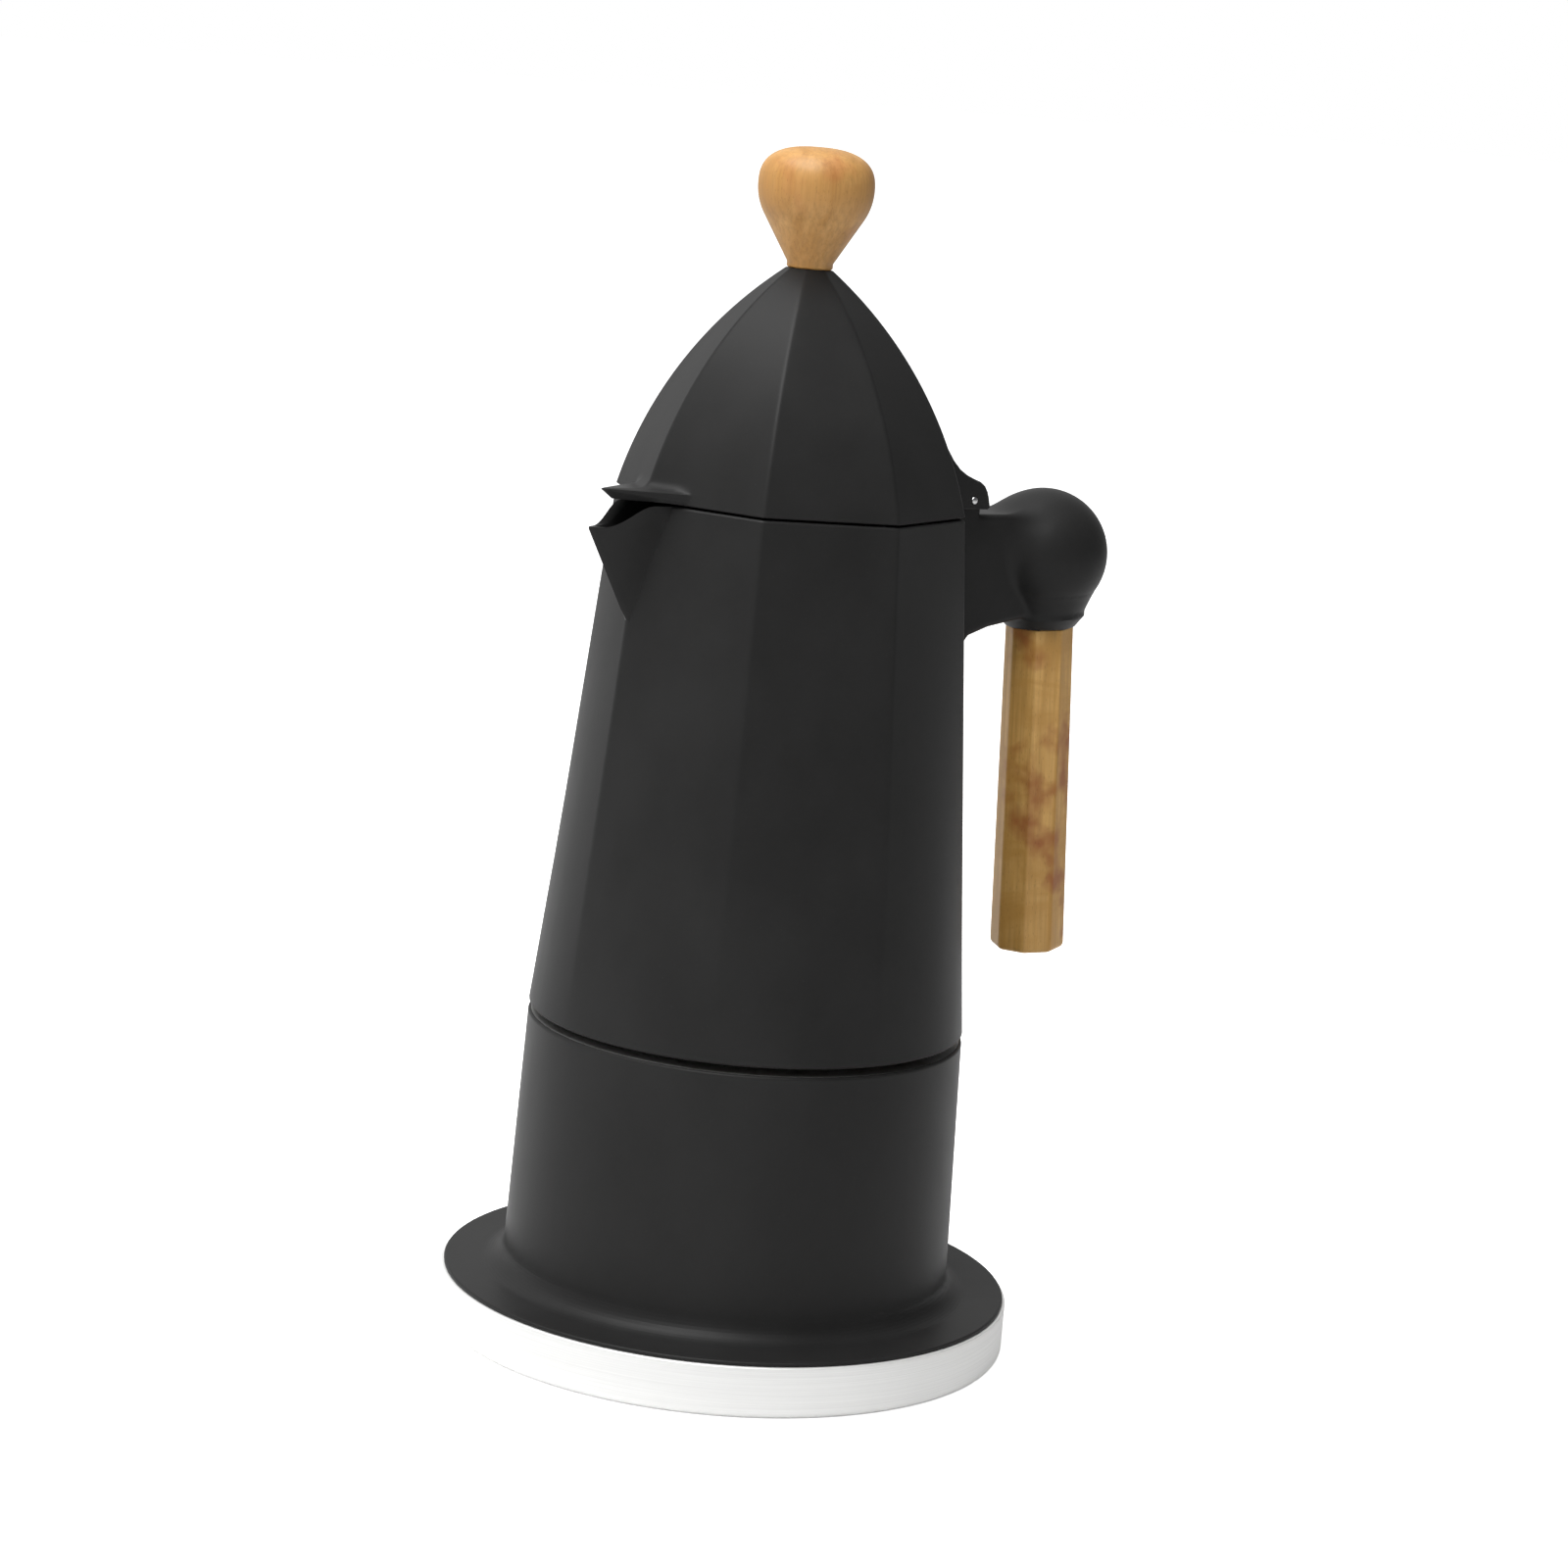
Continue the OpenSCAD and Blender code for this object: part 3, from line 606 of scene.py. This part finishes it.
def bowed_run(a, keel, crease, half_w):
    """How far angle a lies along a V with bowed sides: 0 at its keel, 1 at its creases."""
    slope = softened(math.tan(math.radians(a - 180)), BOW_SOFTNESS)
    depth = keel - crease
    middle = 2 * half_w + depth * slope
    under_root = middle ** 2 - 4 * half_w * keel * slope
    return (middle - math.sqrt(under_root)) / (2 * half_w) if under_root > 0 else 2


def bowed_wedge(a, keel, crease, half_w):
    """Reach at angle a of a V whose sides bow outwards, or nothing beyond its creases."""
    run = bowed_run(a, keel, crease, half_w)
    if run > 1:
        return 0
    return (keel - (keel - crease) * run) / math.cos(math.radians(a - 180))


def polar(ring_r, ring_z):
    """A ring of points from reach and height functions of the angle."""
    ring = []
    for a in COMPASS:
        turn = math.radians(a)
        ring.append((ring_r(a) * math.cos(turn), ring_r(a) * math.sin(turn), ring_z(a)))
    return ring


def soft_max(one, two, width):
    """The larger of two lengths, with the step between them rounded over a width."""
    share = clamp(0.5 + 0.5 * (one - two) / width)
    return two + (one - two) * share + width * share * (1 - share)


def climb(z):
    """How far a height lies between the seam and the rim, as a share."""
    return (z - SKIRT_Z) / (RIM_Z - SKIRT_Z)


def spout_reach(a, z, inward):
    """Reach of the spout's V at a height, or nothing where it has none.

    A wall's thickness moves its sides, its keel and its creases inwards, each by its slope.
    """
    side_shift, keel_shift, crease_shift = 0.55 * inward, 1.25 * inward, 1.1 * inward
    rise = (z - SPOUT_ROOT_Z) / (SPOUT_TIP_Z - SPOUT_ROOT_Z)
    half_w = SPOUT_HALF_W * (z - SPOUT_ROOT_Z) / (RIM_Z - SPOUT_ROOT_Z) - side_shift
    if half_w < SPOUT_LEAST_HALF_W or abs(a - 180) > SPOUT_SPAN:
        return 0
    root_r = blend(SEAM_R, RIM_R, climb(SPOUT_ROOT_Z))
    keel = blend(root_r, SPOUT_R, rise) - keel_shift
    crease = blend(SEAM_R, RIM_R, climb(z)) - FACET_SLOPE * half_w - crease_shift
    return bowed_wedge(a, keel, crease, half_w)


def body_reach(a, z, inward=0):
    """Reach of the collector at angle a and height z: round at the seam, eight-sided at its rim."""
    rim = octagon(RIM_R - inward / math.cos(math.radians(HALF_FACET)), a)
    base = blend(SEAM_R - inward, rim, climb(z))
    spout = spout_reach(a, z, SPOUT_WALL_SHARE * inward)
    return soft_max(base, spout, SPOUT_BLEND) if spout else base


def mouth_z(a):
    """Height of the collector's top edge, which dips along both sides of the spout to its tip."""
    if abs(a - 180) > SPOUT_SPAN:
        return RIM_Z
    crease = RIM_R - FACET_SLOPE * SPOUT_HALF_W
    share = clamp((bowed_run(a, SPOUT_R, crease, SPOUT_HALF_W) - MOUTH_START) / MOUTH_RUN)
    return blend(SPOUT_TIP_Z, RIM_Z, share * share * (3 - 2 * share))


def thread_ridge():
    """The skirt's right-handed helical ridge, as a closed shell that bites into the wall."""
    bite, crest_half, flank, steps = 0.3, 0.3, 0.25, 48
    root = SKIRT_BORE_R + bite
    foot_half = crest_half + flank * (root - THREAD_CREST_R)
    section = [(root, -foot_half), (THREAD_CREST_R, -crest_half), (THREAD_CREST_R, crest_half),
               (root, foot_half)]
    start_z = SKIRT_Z - SEAM_GAP + THREAD_START + THREAD_PITCH / 2
    rings = []
    for i in range(THREAD_TURNS * steps + 1):
        a = 2 * math.pi * i / steps
        lift = start_z + THREAD_PITCH * i / steps
        rings.append([(r * math.cos(a), r * math.sin(a), lift + h) for r, h in section])
    points, faces, _ = ring_shell(rings, closed=False)
    last = len(points)
    faces += [[3, 2, 1, 0], [last - 4, last - 3, last - 2, last - 1]]
    return points, faces, [BARE] * len(faces)


def make_collector(look):
    """The upper pot: coated outside, round its lip and down the top of its inner wall, which keeps the inside of
    the mouth dark; bare further in, with its thread below.
    """
    foot_edge, lip_edge, fillet = 0.35, 0.3, 2
    # Inner rows above the coated_above share of the wall's height take the black coating, which darkens the inside
    # of the mouth.
    levels, coated_above = 44, 0.7
    rows, picks = [], []

    def row(reach, height, pick):
        rows.append(polar(reach if callable(reach) else lambda a: reach,
                          height if callable(height) else lambda a: height))
        picks.append(pick)

    row(SKIRT_BORE_R, SKIRT_Z, COATED)
    row(lambda a: body_reach(a, SKIRT_Z) - foot_edge, SKIRT_Z, COATED)
    for k in range(levels + 1):
        height = lambda a, s=k / levels: blend(SKIRT_Z + foot_edge, mouth_z(a) - foot_edge, s)
        row(lambda a, h=height: body_reach(a, h(a)), height, COATED)
    row(lambda a: body_reach(a, mouth_z(a)) - lip_edge, mouth_z, COATED)
    row(lambda a: body_reach(a, mouth_z(a), WALL) + lip_edge, mouth_z, COATED)
    for k in range(levels + 1):
        share = 1 - k / levels
        height = lambda a, s=share: blend(FLOOR_Z + fillet, mouth_z(a) - lip_edge, s)
        row(lambda a, h=height: body_reach(a, h(a), WALL), height,
            COATED if share > coated_above else BARE)
    for turn in (30, 60, 90):
        drop = fillet * (1 - math.sin(math.radians(turn)))
        back = fillet * (1 - math.cos(math.radians(turn)))
        row(lambda a, b=back: body_reach(a, FLOOR_Z + fillet, WALL) - b, FLOOR_Z + drop, BARE)
    for reach, height in ((COLUMN_R, FLOOR_Z), (COLUMN_R, CHAMBER_TOP_Z),
                          (CHAMBER_R, CHAMBER_TOP_Z), (CHAMBER_R, RECESS_TOP_Z),
                          (RECESS_R, RECESS_TOP_Z), (RECESS_R, GASKET_Z),
                          (SKIRT_BORE_R, GASKET_Z)):
        row(reach, height, BARE)
    shells = [ring_shell(rows, picks), thread_ridge()]
    make_piece("collector_shell", "collector_body", "collector", shells,
               [look["black_paint"], look["bare_aluminium"]])


def knuckle(y_low, y_high):
    """A hinge knuckle round the pin: a short tube along Y with bevelled ends."""
    edge = 0.3
    profile = [(PIN_R, y_low), (HINGE_R - edge, y_low), (HINGE_R, y_low + edge),
               (HINGE_R, y_high - edge), (HINGE_R - edge, y_high), (PIN_R, y_high)]
    return revolve(profile, 48, lambda x, y, z: (HINGE_X + x, z, HINGE_Z + y))


def make_spine(look):
    """The rib behind the collector that the arm's fork grips, with the hinge's middle knuckle."""
    bury, sweep, step, top_z, edge = 1.5, 6.1, 2, RIM_Z - 0.4, 0.25
    outline = [(body_reach(0, ARM_FOOT_Z) - bury, ARM_FOOT_Z), (SPINE_X, ARM_FOOT_Z + sweep),
               (SPINE_X, HINGE_Z - step), (HINGE_X - step, HINGE_Z - step),
               (HINGE_X - HINGE_R, top_z), (RIM_R - bury, top_z)]
    shells = [slab(outline, -SPINE_HALF_W, SPINE_HALF_W, edge), knuckle(-SPINE_HALF_W, SPINE_HALF_W)]
    make_piece("collector_spine", "collector_body", None, shells,
               [look["black_paint"]])


def make_hinge_pin(look):
    """The pin: full width through the arm's lugs, with slimmer domed ends in the lid's ears."""
    edge = 0.1
    end = ARM_HALF_W + edge
    tip = size("hinge_pin", 1, 1)
    half = [(PIN_R, 0), (PIN_R, end - edge), (PIN_R - edge, end), (PIN_END_R, end),
            (PIN_END_R, tip - 0.3), (PIN_END_R * 0.87, tip - 0.14), (PIN_END_R * 0.5, tip - 0.04),
            (0, tip)]
    profile = [(r, -y) for r, y in reversed(half)] + half[1:]
    spun = revolve(profile, 48, lambda x, y, z: (HINGE_X + x, z, HINGE_Z + y), closed=False)
    make_piece("hinge_pin_turned", "collector_body", "hinge_pin", [spun],
               [look["hardware_steel"]])


# --- Lid ---------------------------------------------------------------------------------------
def crown_centre():
    """Centre of the arc that the lid's corners follow from the rim to the crown."""
    across, up = CROWN_R - RIM_R, CROWN_Z - LID_Z
    chord = math.hypot(across, up)
    offset = math.sqrt(CROWN_ARC_R ** 2 - (chord / 2) ** 2) / chord
    return ((CROWN_R + RIM_R) / 2 - offset * up, (CROWN_Z + LID_Z) / 2 + offset * across)


CROWN_CENTRE = crown_centre()
CROWN_EDGE_SHARE = 0.16
VISOR_ROOT_X = RIM_R - FACET_SLOPE * VISOR_HALF_W
VISOR_THIN_RUN = 2.7
VISOR_TIP_RISE = 1.7


def lid_corner(z, inward=0):
    """Distance of the lid's corners from the axis at a height."""
    lift = z - CROWN_CENTRE[1]
    return CROWN_CENTRE[0] + math.sqrt((CROWN_ARC_R - inward) ** 2 - lift ** 2)


def lid_reach(a, z, inward=0):
    """Reach of the lid's wall at a height, with its edges finer towards the crown."""
    corner = lid_corner(z, inward)
    return octagon(corner, a, min(EDGE_R, CROWN_EDGE_SHARE * corner))


def over_spout(a, z, keel, crease, half_w):
    """Reach of the lid at a height, or of a V over the spout where that reaches further."""
    plain = lid_reach(a, z)
    if abs(a - 180) > SPOUT_SPAN:
        return plain
    return max(plain, wedge(a, keel, crease, half_w))


def visor_reach(a, z=VISOR_TOP_Z):
    """Reach of the pointed lip over the spout, or of the lid where there is no lip."""
    return over_spout(a, z, VISOR_REACH, VISOR_ROOT_X, VISOR_HALF_W)


def visor_length(a):
    """How far the lip stands out from the lid."""
    return visor_reach(a) - lid_reach(a, VISOR_TOP_Z)


def visor_body_reach(a):
    """Reach of the deeper part under the lip, which stops short of the lip's tip."""
    return over_spout(a, VISOR_Z, VISOR_REACH - VISOR_THIN_RUN, VISOR_ROOT_X - 0.1,
                      VISOR_HALF_W - 0.2)


def visor_floor(a):
    """Height of the lip's underside at its edge, which rises towards its tip."""
    share = clamp((visor_reach(a) - visor_body_reach(a)) / VISOR_THIN_RUN)
    return VISOR_Z + VISOR_TIP_RISE * share


def lid_outside():
    """Rings of the lid from its rim, round the lip and up the arc to its crown."""
    fillet, bevel_in, bevel_up, steps = 2.0, 0.3, 0.2, 40
    rows = [(lambda a: lid_reach(a, LID_Z) - bevel_in, lambda a: LID_Z),
            (lambda a: lid_reach(a, LID_Z + bevel_up), lambda a: LID_Z + bevel_up),
            (visor_body_reach, lambda a: VISOR_Z)]
    # The lip's edge from below to above: distance inwards, lift, and the height that it starts from.
    edge = ((0.3, 0, visor_floor), (0, 0.2, visor_floor), (0, -0.3, lambda a: VISOR_TOP_Z),
            (0.1, -0.1, lambda a: VISOR_TOP_Z), (0.4, 0, lambda a: VISOR_TOP_Z))
    for inward, lift, level in edge:
        height = lambda a, lift=lift, level=level: level(a) + lift
        rows.append((lambda a, h=height, d=inward: visor_reach(a, h(a)) - d * clamp(visor_length(a)),
                     height))
    for turn in range(0, 91, 15):
        lean = math.radians(turn)
        z = VISOR_TOP_Z + 0.05 + fillet * (1 - math.cos(lean))
        foot = 1 - math.sin(lean)
        rows.append((lambda a, z=z, foot=foot: lid_reach(a, z)
                     + foot * min(fillet, 0.6 * visor_length(a)), lambda a, z=z: z))
    for k in range(1, steps + 1):
        z = blend(VISOR_TOP_Z + fillet, CROWN_Z, math.sin(math.pi / 2 * k / steps))
        rows.append((lambda a, z=z: lid_reach(a, z), lambda a, z=z: z))
    return [polar(reach, height) for reach, height in rows]


def lid_inside():
    """Rings from the crown's screw hole down the inner wall to the rim."""
    inner_top = CROWN_Z - CROWN_T
    bore_r, bevel, steps = SCREW_R + 0.1, 0.3, 30
    rows = [polar(lambda a: bore_r, lambda a: CROWN_Z), polar(lambda a: bore_r, lambda a: inner_top)]
    for k in range(steps + 1):
        z = blend(LID_Z + bevel, inner_top, math.sin(math.pi / 2 * (1 - k / steps)))
        rows.append(polar(lambda a, z=z: lid_reach(a, z, LID_T), lambda a, z=z: z))
    rows.append(polar(lambda a: lid_reach(a, LID_Z, LID_T) + bevel, lambda a: LID_Z))
    return rows


def ear_outline():
    """Side view of a hinge ear: a shoulder that sweeps off the lid, round the pin to a heel."""
    heel_z = 175.7
    return [(32.2, LID_Z + 0.2), (36.5, LID_Z + 0.2), (38.5, heel_z), (46.3, heel_z),
            (46.8, heel_z + 0.5), (46.6, 176.9), (46.3, 178.1), (45.8, 179.4), (45.0, 180.6),
            (43.7, 181.5), (41.9, 182.1), (39.9, 182.9), (37.9, 184.1), (35.9, 186.0),
            (33.4, 189.2), (31.0, 192.6), (29.8, 192.6)]


def make_lid(look):
    """The lid: coated outside, bare inside, with its lip and two bored hinge ears."""
    outside, inside = lid_outside(), lid_inside()
    picks = [COATED] * len(outside) + [BARE] * (len(inside) - 1) + [COATED]
    shells = [ring_shell(outside + inside, picks)]
    gap, thick, bevel, clearance = 0.35, 2.6, 0.35, 0.05
    bore = arc((HINGE_X, HINGE_Z), PIN_END_R + clearance, 360, 0, 32)[1:]
    for low, high in ((ARM_HALF_W + gap, ARM_HALF_W + gap + thick),
                      (-ARM_HALF_W - gap - thick, -ARM_HALF_W - gap)):
        shells.append(slab(ear_outline(), low, high, bevel, bore))
    make_piece("lid_shell", "lid_body", "lid", shells,
               [look["black_paint"], look["bare_aluminium"]])


def make_knob(look):
    """Turned wooden knob: a cone that swells to a belly under a flattened dome."""
    belly_r, belly_z, side_r, drop = 11.85, KNOB_Z + 16.5, 12.1, 6.1
    power, steps, bore_depth, neck_r, neck_h = 2.6, 36, 11, 4.7, 1.2
    bevel = 0.3
    profile = [(0, KNOB_Z + bore_depth), (SCREW_R, KNOB_Z + bore_depth), (SCREW_R, KNOB_Z),
               (neck_r - bevel, KNOB_Z), (neck_r, KNOB_Z + bevel), (neck_r, KNOB_Z + neck_h)]
    foot = -math.degrees(math.asin(drop / side_r))
    profile += arc((belly_r - side_r, belly_z), side_r, foot, 0, 14)
    for k in range(1, steps + 1):
        a = math.pi / 2 * k / steps
        profile.append((belly_r * abs(math.cos(a)) ** (2 / power),
                        belly_z + (KNOB_TOP_Z - belly_z) * math.sin(a) ** (2 / power)))
    make_piece("knob_turned", "lid_body", "knob",
               [revolve(profile, 128, closed=False)], [look["knob_wood"]])


# --- Handle ------------------------------------------------------------------------------------
LEAN_COS = math.cos(math.radians(GRIP_LEAN))
LEAN_SIN = math.sin(math.radians(GRIP_LEAN))

# Reach of the rim's corner at the handle, as a table for the arm's hollow that fits the body.
NEAR_CORNER = np.linspace(-12, 12, 97)
CORNER_REACH = np.array([octagon(RIM_R, a) for a in NEAR_CORNER])

# Side view of the arm's plate, and half the section of its collar about the grip's axis.
ARM_SIDE = [(32.4, ARM_TOP_Z), (BALL_X, ARM_TOP_Z), (BALL_X, 153.4), (68, 152.9), (52, 150.0),
            (46.8, 148.2), (45.3, 146.3), (43.4, ARM_FOOT_Z), (32.4, ARM_FOOT_Z)]
COLLAR = [(0, 0), (0, -15.8), (7.6, -15.8), (9.6, -13.3), (9.6, -12.2), (11.4, -8.13)]

PLATE_EDGE_R = 1.0
LUG_EDGE_R = 0.35
LUG_ROOT = 3
COLLAR_BLEND = 0.4

# The plate melts into the ball over a width that grows with height.
MELT_LEAST = 1.0
MELT_GROWTH = 3.5
MELT_FOOT_Z = 158
MELT_RISE = 12

SPINE_CLEARANCE = 0.05
ARM_SCREW_R = 2.2
ARM_SCREW_TOP = 1


def polygon_distance(x, y, corners):
    """Signed distance from points to an outline, negative inside it."""
    nearest = np.full(x.shape, np.inf)
    crossings = np.zeros(x.shape, dtype=int)
    for (ax, ay), (bx, by) in zip(corners, corners[1:] + corners[:1]):
        ex, ey = bx - ax, by - ay
        along = np.clip(((x - ax) * ex + (y - ay) * ey) / (ex * ex + ey * ey), 0, 1)
        nearest = np.minimum(nearest, np.hypot(x - ax - along * ex, y - ay - along * ey))
        if ay != by:
            spans = (ay > y) != (by > y)
            crossings += spans & (x < ax + (y - ay) * ex / ey)
    return np.where(crossings % 2 == 1, -nearest, nearest)


def thick_shape(flat, across, edge):
    """Signed distance to a flat shape given a thickness, with its edges rounded."""
    one, two = flat + edge, across + edge
    outside = np.hypot(np.maximum(one, 0), np.maximum(two, 0))
    return np.minimum(np.maximum(one, two), 0) + outside - edge


def smooth_union(one, two, width):
    """The union of two signed distances, melted together over a width."""
    share = np.clip(0.5 + 0.5 * (two - one) / width, 0, 1)
    return two + (one - two) * share - width * share * (1 - share)


def arm_shape(points):
    """Signed distance to the arm: a plate with hinge lugs, melting into a ball with a collar."""
    x, y, z = points[..., 0], points[..., 1], points[..., 2]
    plate = thick_shape(polygon_distance(x, z, ARM_SIDE), np.abs(y) - ARM_HALF_W, PLATE_EDGE_R)
    stem = np.clip(z, ARM_TOP_Z - LUG_ROOT, HINGE_Z)
    lug_side = np.hypot(x - HINGE_X, z - stem) - HINGE_R
    lugs = thick_shape(lug_side, np.abs(y) - ARM_HALF_W, LUG_EDGE_R)
    u = (x - BALL_X) * LEAN_COS + (z - BALL_Z) * LEAN_SIN
    w = (z - BALL_Z) * LEAN_COS - (x - BALL_X) * LEAN_SIN
    off_axis = np.hypot(u, y)
    collar = polygon_distance(off_axis, w, COLLAR)
    ball = smooth_union(np.hypot(off_axis, w) - BALL_R, collar, COLLAR_BLEND)
    melt = MELT_LEAST + MELT_GROWTH * np.clip((z - MELT_FOOT_Z) / MELT_RISE, 0, 1)
    whole = np.minimum(smooth_union(plate, ball, melt), lugs)
    corner = np.interp(np.degrees(np.arctan2(y, x)), NEAR_CORNER, CORNER_REACH)
    body = np.hypot(x, y) - blend(SEAM_R, corner, climb(z))
    slot = np.maximum(np.abs(y) - SPINE_HALF_W - SPINE_CLEARANCE, x - SPINE_X - SPINE_CLEARANCE)
    pin = np.hypot(x - HINGE_X, z - HINGE_Z) - PIN_R
    screw = np.maximum(off_axis - ARM_SCREW_R, w - ARM_SCREW_TOP)
    for hollow in (body, slot, pin, screw):
        whole = np.maximum(whole, -hollow)
    return whole


def surface_net(shape, low, high, step):
    """A quad mesh on the zero surface of a signed distance, found on a grid and then refined."""
    passes, reach, least_slope2, longest_pull = 8, 0.01, 0.2, step / 3
    axes = [np.arange(start, end + step, step) for start, end in zip(low, high)]
    grid = np.stack(np.meshgrid(*axes, indexing="ij"), -1)
    inside = (shape(grid) < 0).astype(int)
    count = sum(inside[i:i - 1 or None, j:j - 1 or None, k:k - 1 or None]
                for i in (0, 1) for j in (0, 1) for k in (0, 1))
    mixed = (count > 0) & (count < 8)
    number = np.full(mixed.shape, -1)
    number[mixed] = np.arange(mixed.sum())
    points = grid[:-1, :-1, :-1][mixed] + step / 2
    faces = []
    for axis in range(3):
        u, v = np.eye(3, dtype=int)[(axis + 1) % 3], np.eye(3, dtype=int)[(axis + 2) % 3]
        edges = np.argwhere(np.diff(inside, axis=axis) != 0)
        corners = [edges, edges - u, edges - u - v, edges - v]
        faces.append(np.stack([number[tuple(corner.T)] for corner in corners], -1))
    faces = np.concatenate(faces)
    nudges = np.eye(3) * reach
    for _ in range(passes):
        rises = [shape(points + nudge) - shape(points - nudge) for nudge in nudges]
        slope = np.stack(rises, -1) / (2 * reach)
        slope2 = np.maximum((slope ** 2).sum(-1, keepdims=True), least_slope2)
        pull = slope * shape(points)[:, None] / slope2
        points = points - np.clip(pull, -longest_pull, longest_pull)
    return points, faces.tolist(), [0] * len(faces)


def make_arm(look):
    """The cast arm, from the fork at the hinge to the collar that the grip hangs from."""
    margin = 1
    low = (RIM_R - 2 * margin, -BALL_R - margin, ARM_FOOT_Z - margin)
    high = (BALL_X + BALL_R + margin, BALL_R + margin, HINGE_Z + HINGE_R + margin)
    net = surface_net(arm_shape, low, high, step=0.5)
    make_piece("handle_arm_cast", "collector_body", "handle_arm", [net],
               [look["black_paint"]])


def make_grip(look):
    """Eight-sided wooden grip on the arm's leaning axis, counterbored for its screw."""
    edge, bore_r, sink_r, sink, spans = 1.4, 2.3, 4.5, 6, 12
    top_bevel, sink_bevel, corner_edge = 0.15, 0.2, 1.0
    # Each row is (radius, distance along the axis, whether it is eight-sided).
    rows = [(bore_r, GRIP_TOP, False), (GRIP_TOP_R - top_bevel, GRIP_TOP, True),
            (GRIP_TOP_R, GRIP_TOP - top_bevel, True)]
    for k in range(1, spans):
        rows.append((blend(GRIP_TOP_R, GRIP_FOOT_R, k / spans),
                     blend(GRIP_TOP, GRIP_FOOT + edge, k / spans), True))
    rounded_foot = arc((GRIP_FOOT_R - edge, GRIP_FOOT + edge), edge, 0, -90, 6)
    rows += [(r, w, True) for r, w in rounded_foot]
    rows += [(sink_r + sink_bevel, GRIP_FOOT, False), (sink_r, GRIP_FOOT + sink_bevel, False),
             (sink_r, GRIP_FOOT + sink, False), (bore_r, GRIP_FOOT + sink, False)]
    rings = [polar(lambda a, r=r, e=eight: octagon(r, a, corner_edge) if e else r,
                   lambda a, w=w: w) for r, w, eight in rows]
    points, faces, picks = ring_shell(rings)
    points = [(BALL_X + u * LEAN_COS - w * LEAN_SIN, y, BALL_Z + u * LEAN_SIN + w * LEAN_COS)
              for u, y, w in points]
    make_piece("grip_turned", "collector_body", "grip", [(points, faces, picks)],
               [look["grip_wood"]])


# --- Base and fittings -------------------------------------------------------------------------
def make_base(look):
    """The drawn steel cap under the boiler, with a rolled foot and a broken top edge."""
    roll, edge = 1.6, 0.35
    profile = [(0, 0), *arc((BASE_R - roll, roll), roll, -90, 0, 10), (BASE_R, BASE_H - edge),
               *arc((BASE_R - edge, BASE_H - edge), edge, 0, 90, 4),
               (BASE_R - CAP_T, BASE_H), (BASE_R - CAP_T, CAP_T), (0, CAP_T)]
    make_piece("base_cap_drawn", "boiler_base", "base_cap",
               [revolve(profile, 192, closed=False)], [look["satin_steel"]])


def dress_nodes(look):
    """Materials and shading on the CAD nodes that stay, with the boiler left bare inside and its neck coated black
    as painted shade in the seam gap.
    """
    for part in frame["record"]["subparts"]:
        mesh = frame["nodes"][part["node"]].data
        mesh.materials.clear()
        mesh.materials.append(look[part["material_slot"]])
        shade(mesh)
    boiler = frame["nodes"]["boiler"].data
    boiler.materials.append(look["bare_aluminium"])
    coat_depth = 1.2
    wall_inside = (SEAM_R - coat_depth) * MM
    for face in boiler.polygons:
        x, y, z = face.center
        r = math.hypot(x, y)
        # Painted shade: the neck and its thread above the seam keep the black coating, which keeps the seam gap
        # between boiler and collector dark.
        neck_painted_shade = z > SEAM_Z * MM and r > NECK_R * MM
        face.material_index = BARE if r < wall_inside and not neck_painted_shade else COATED


def main():
    bpy.context.scene.view_settings.view_transform = "Standard"
    make_camera()
    make_lights()
    make_room()
    make_floor()
    look = make_materials()
    dress_nodes(look)
    make_base(look)
    make_collector(look)
    make_spine(look)
    make_hinge_pin(look)
    make_arm(look)
    make_grip(look)
    make_lid(look)
    make_knob(look)


main()
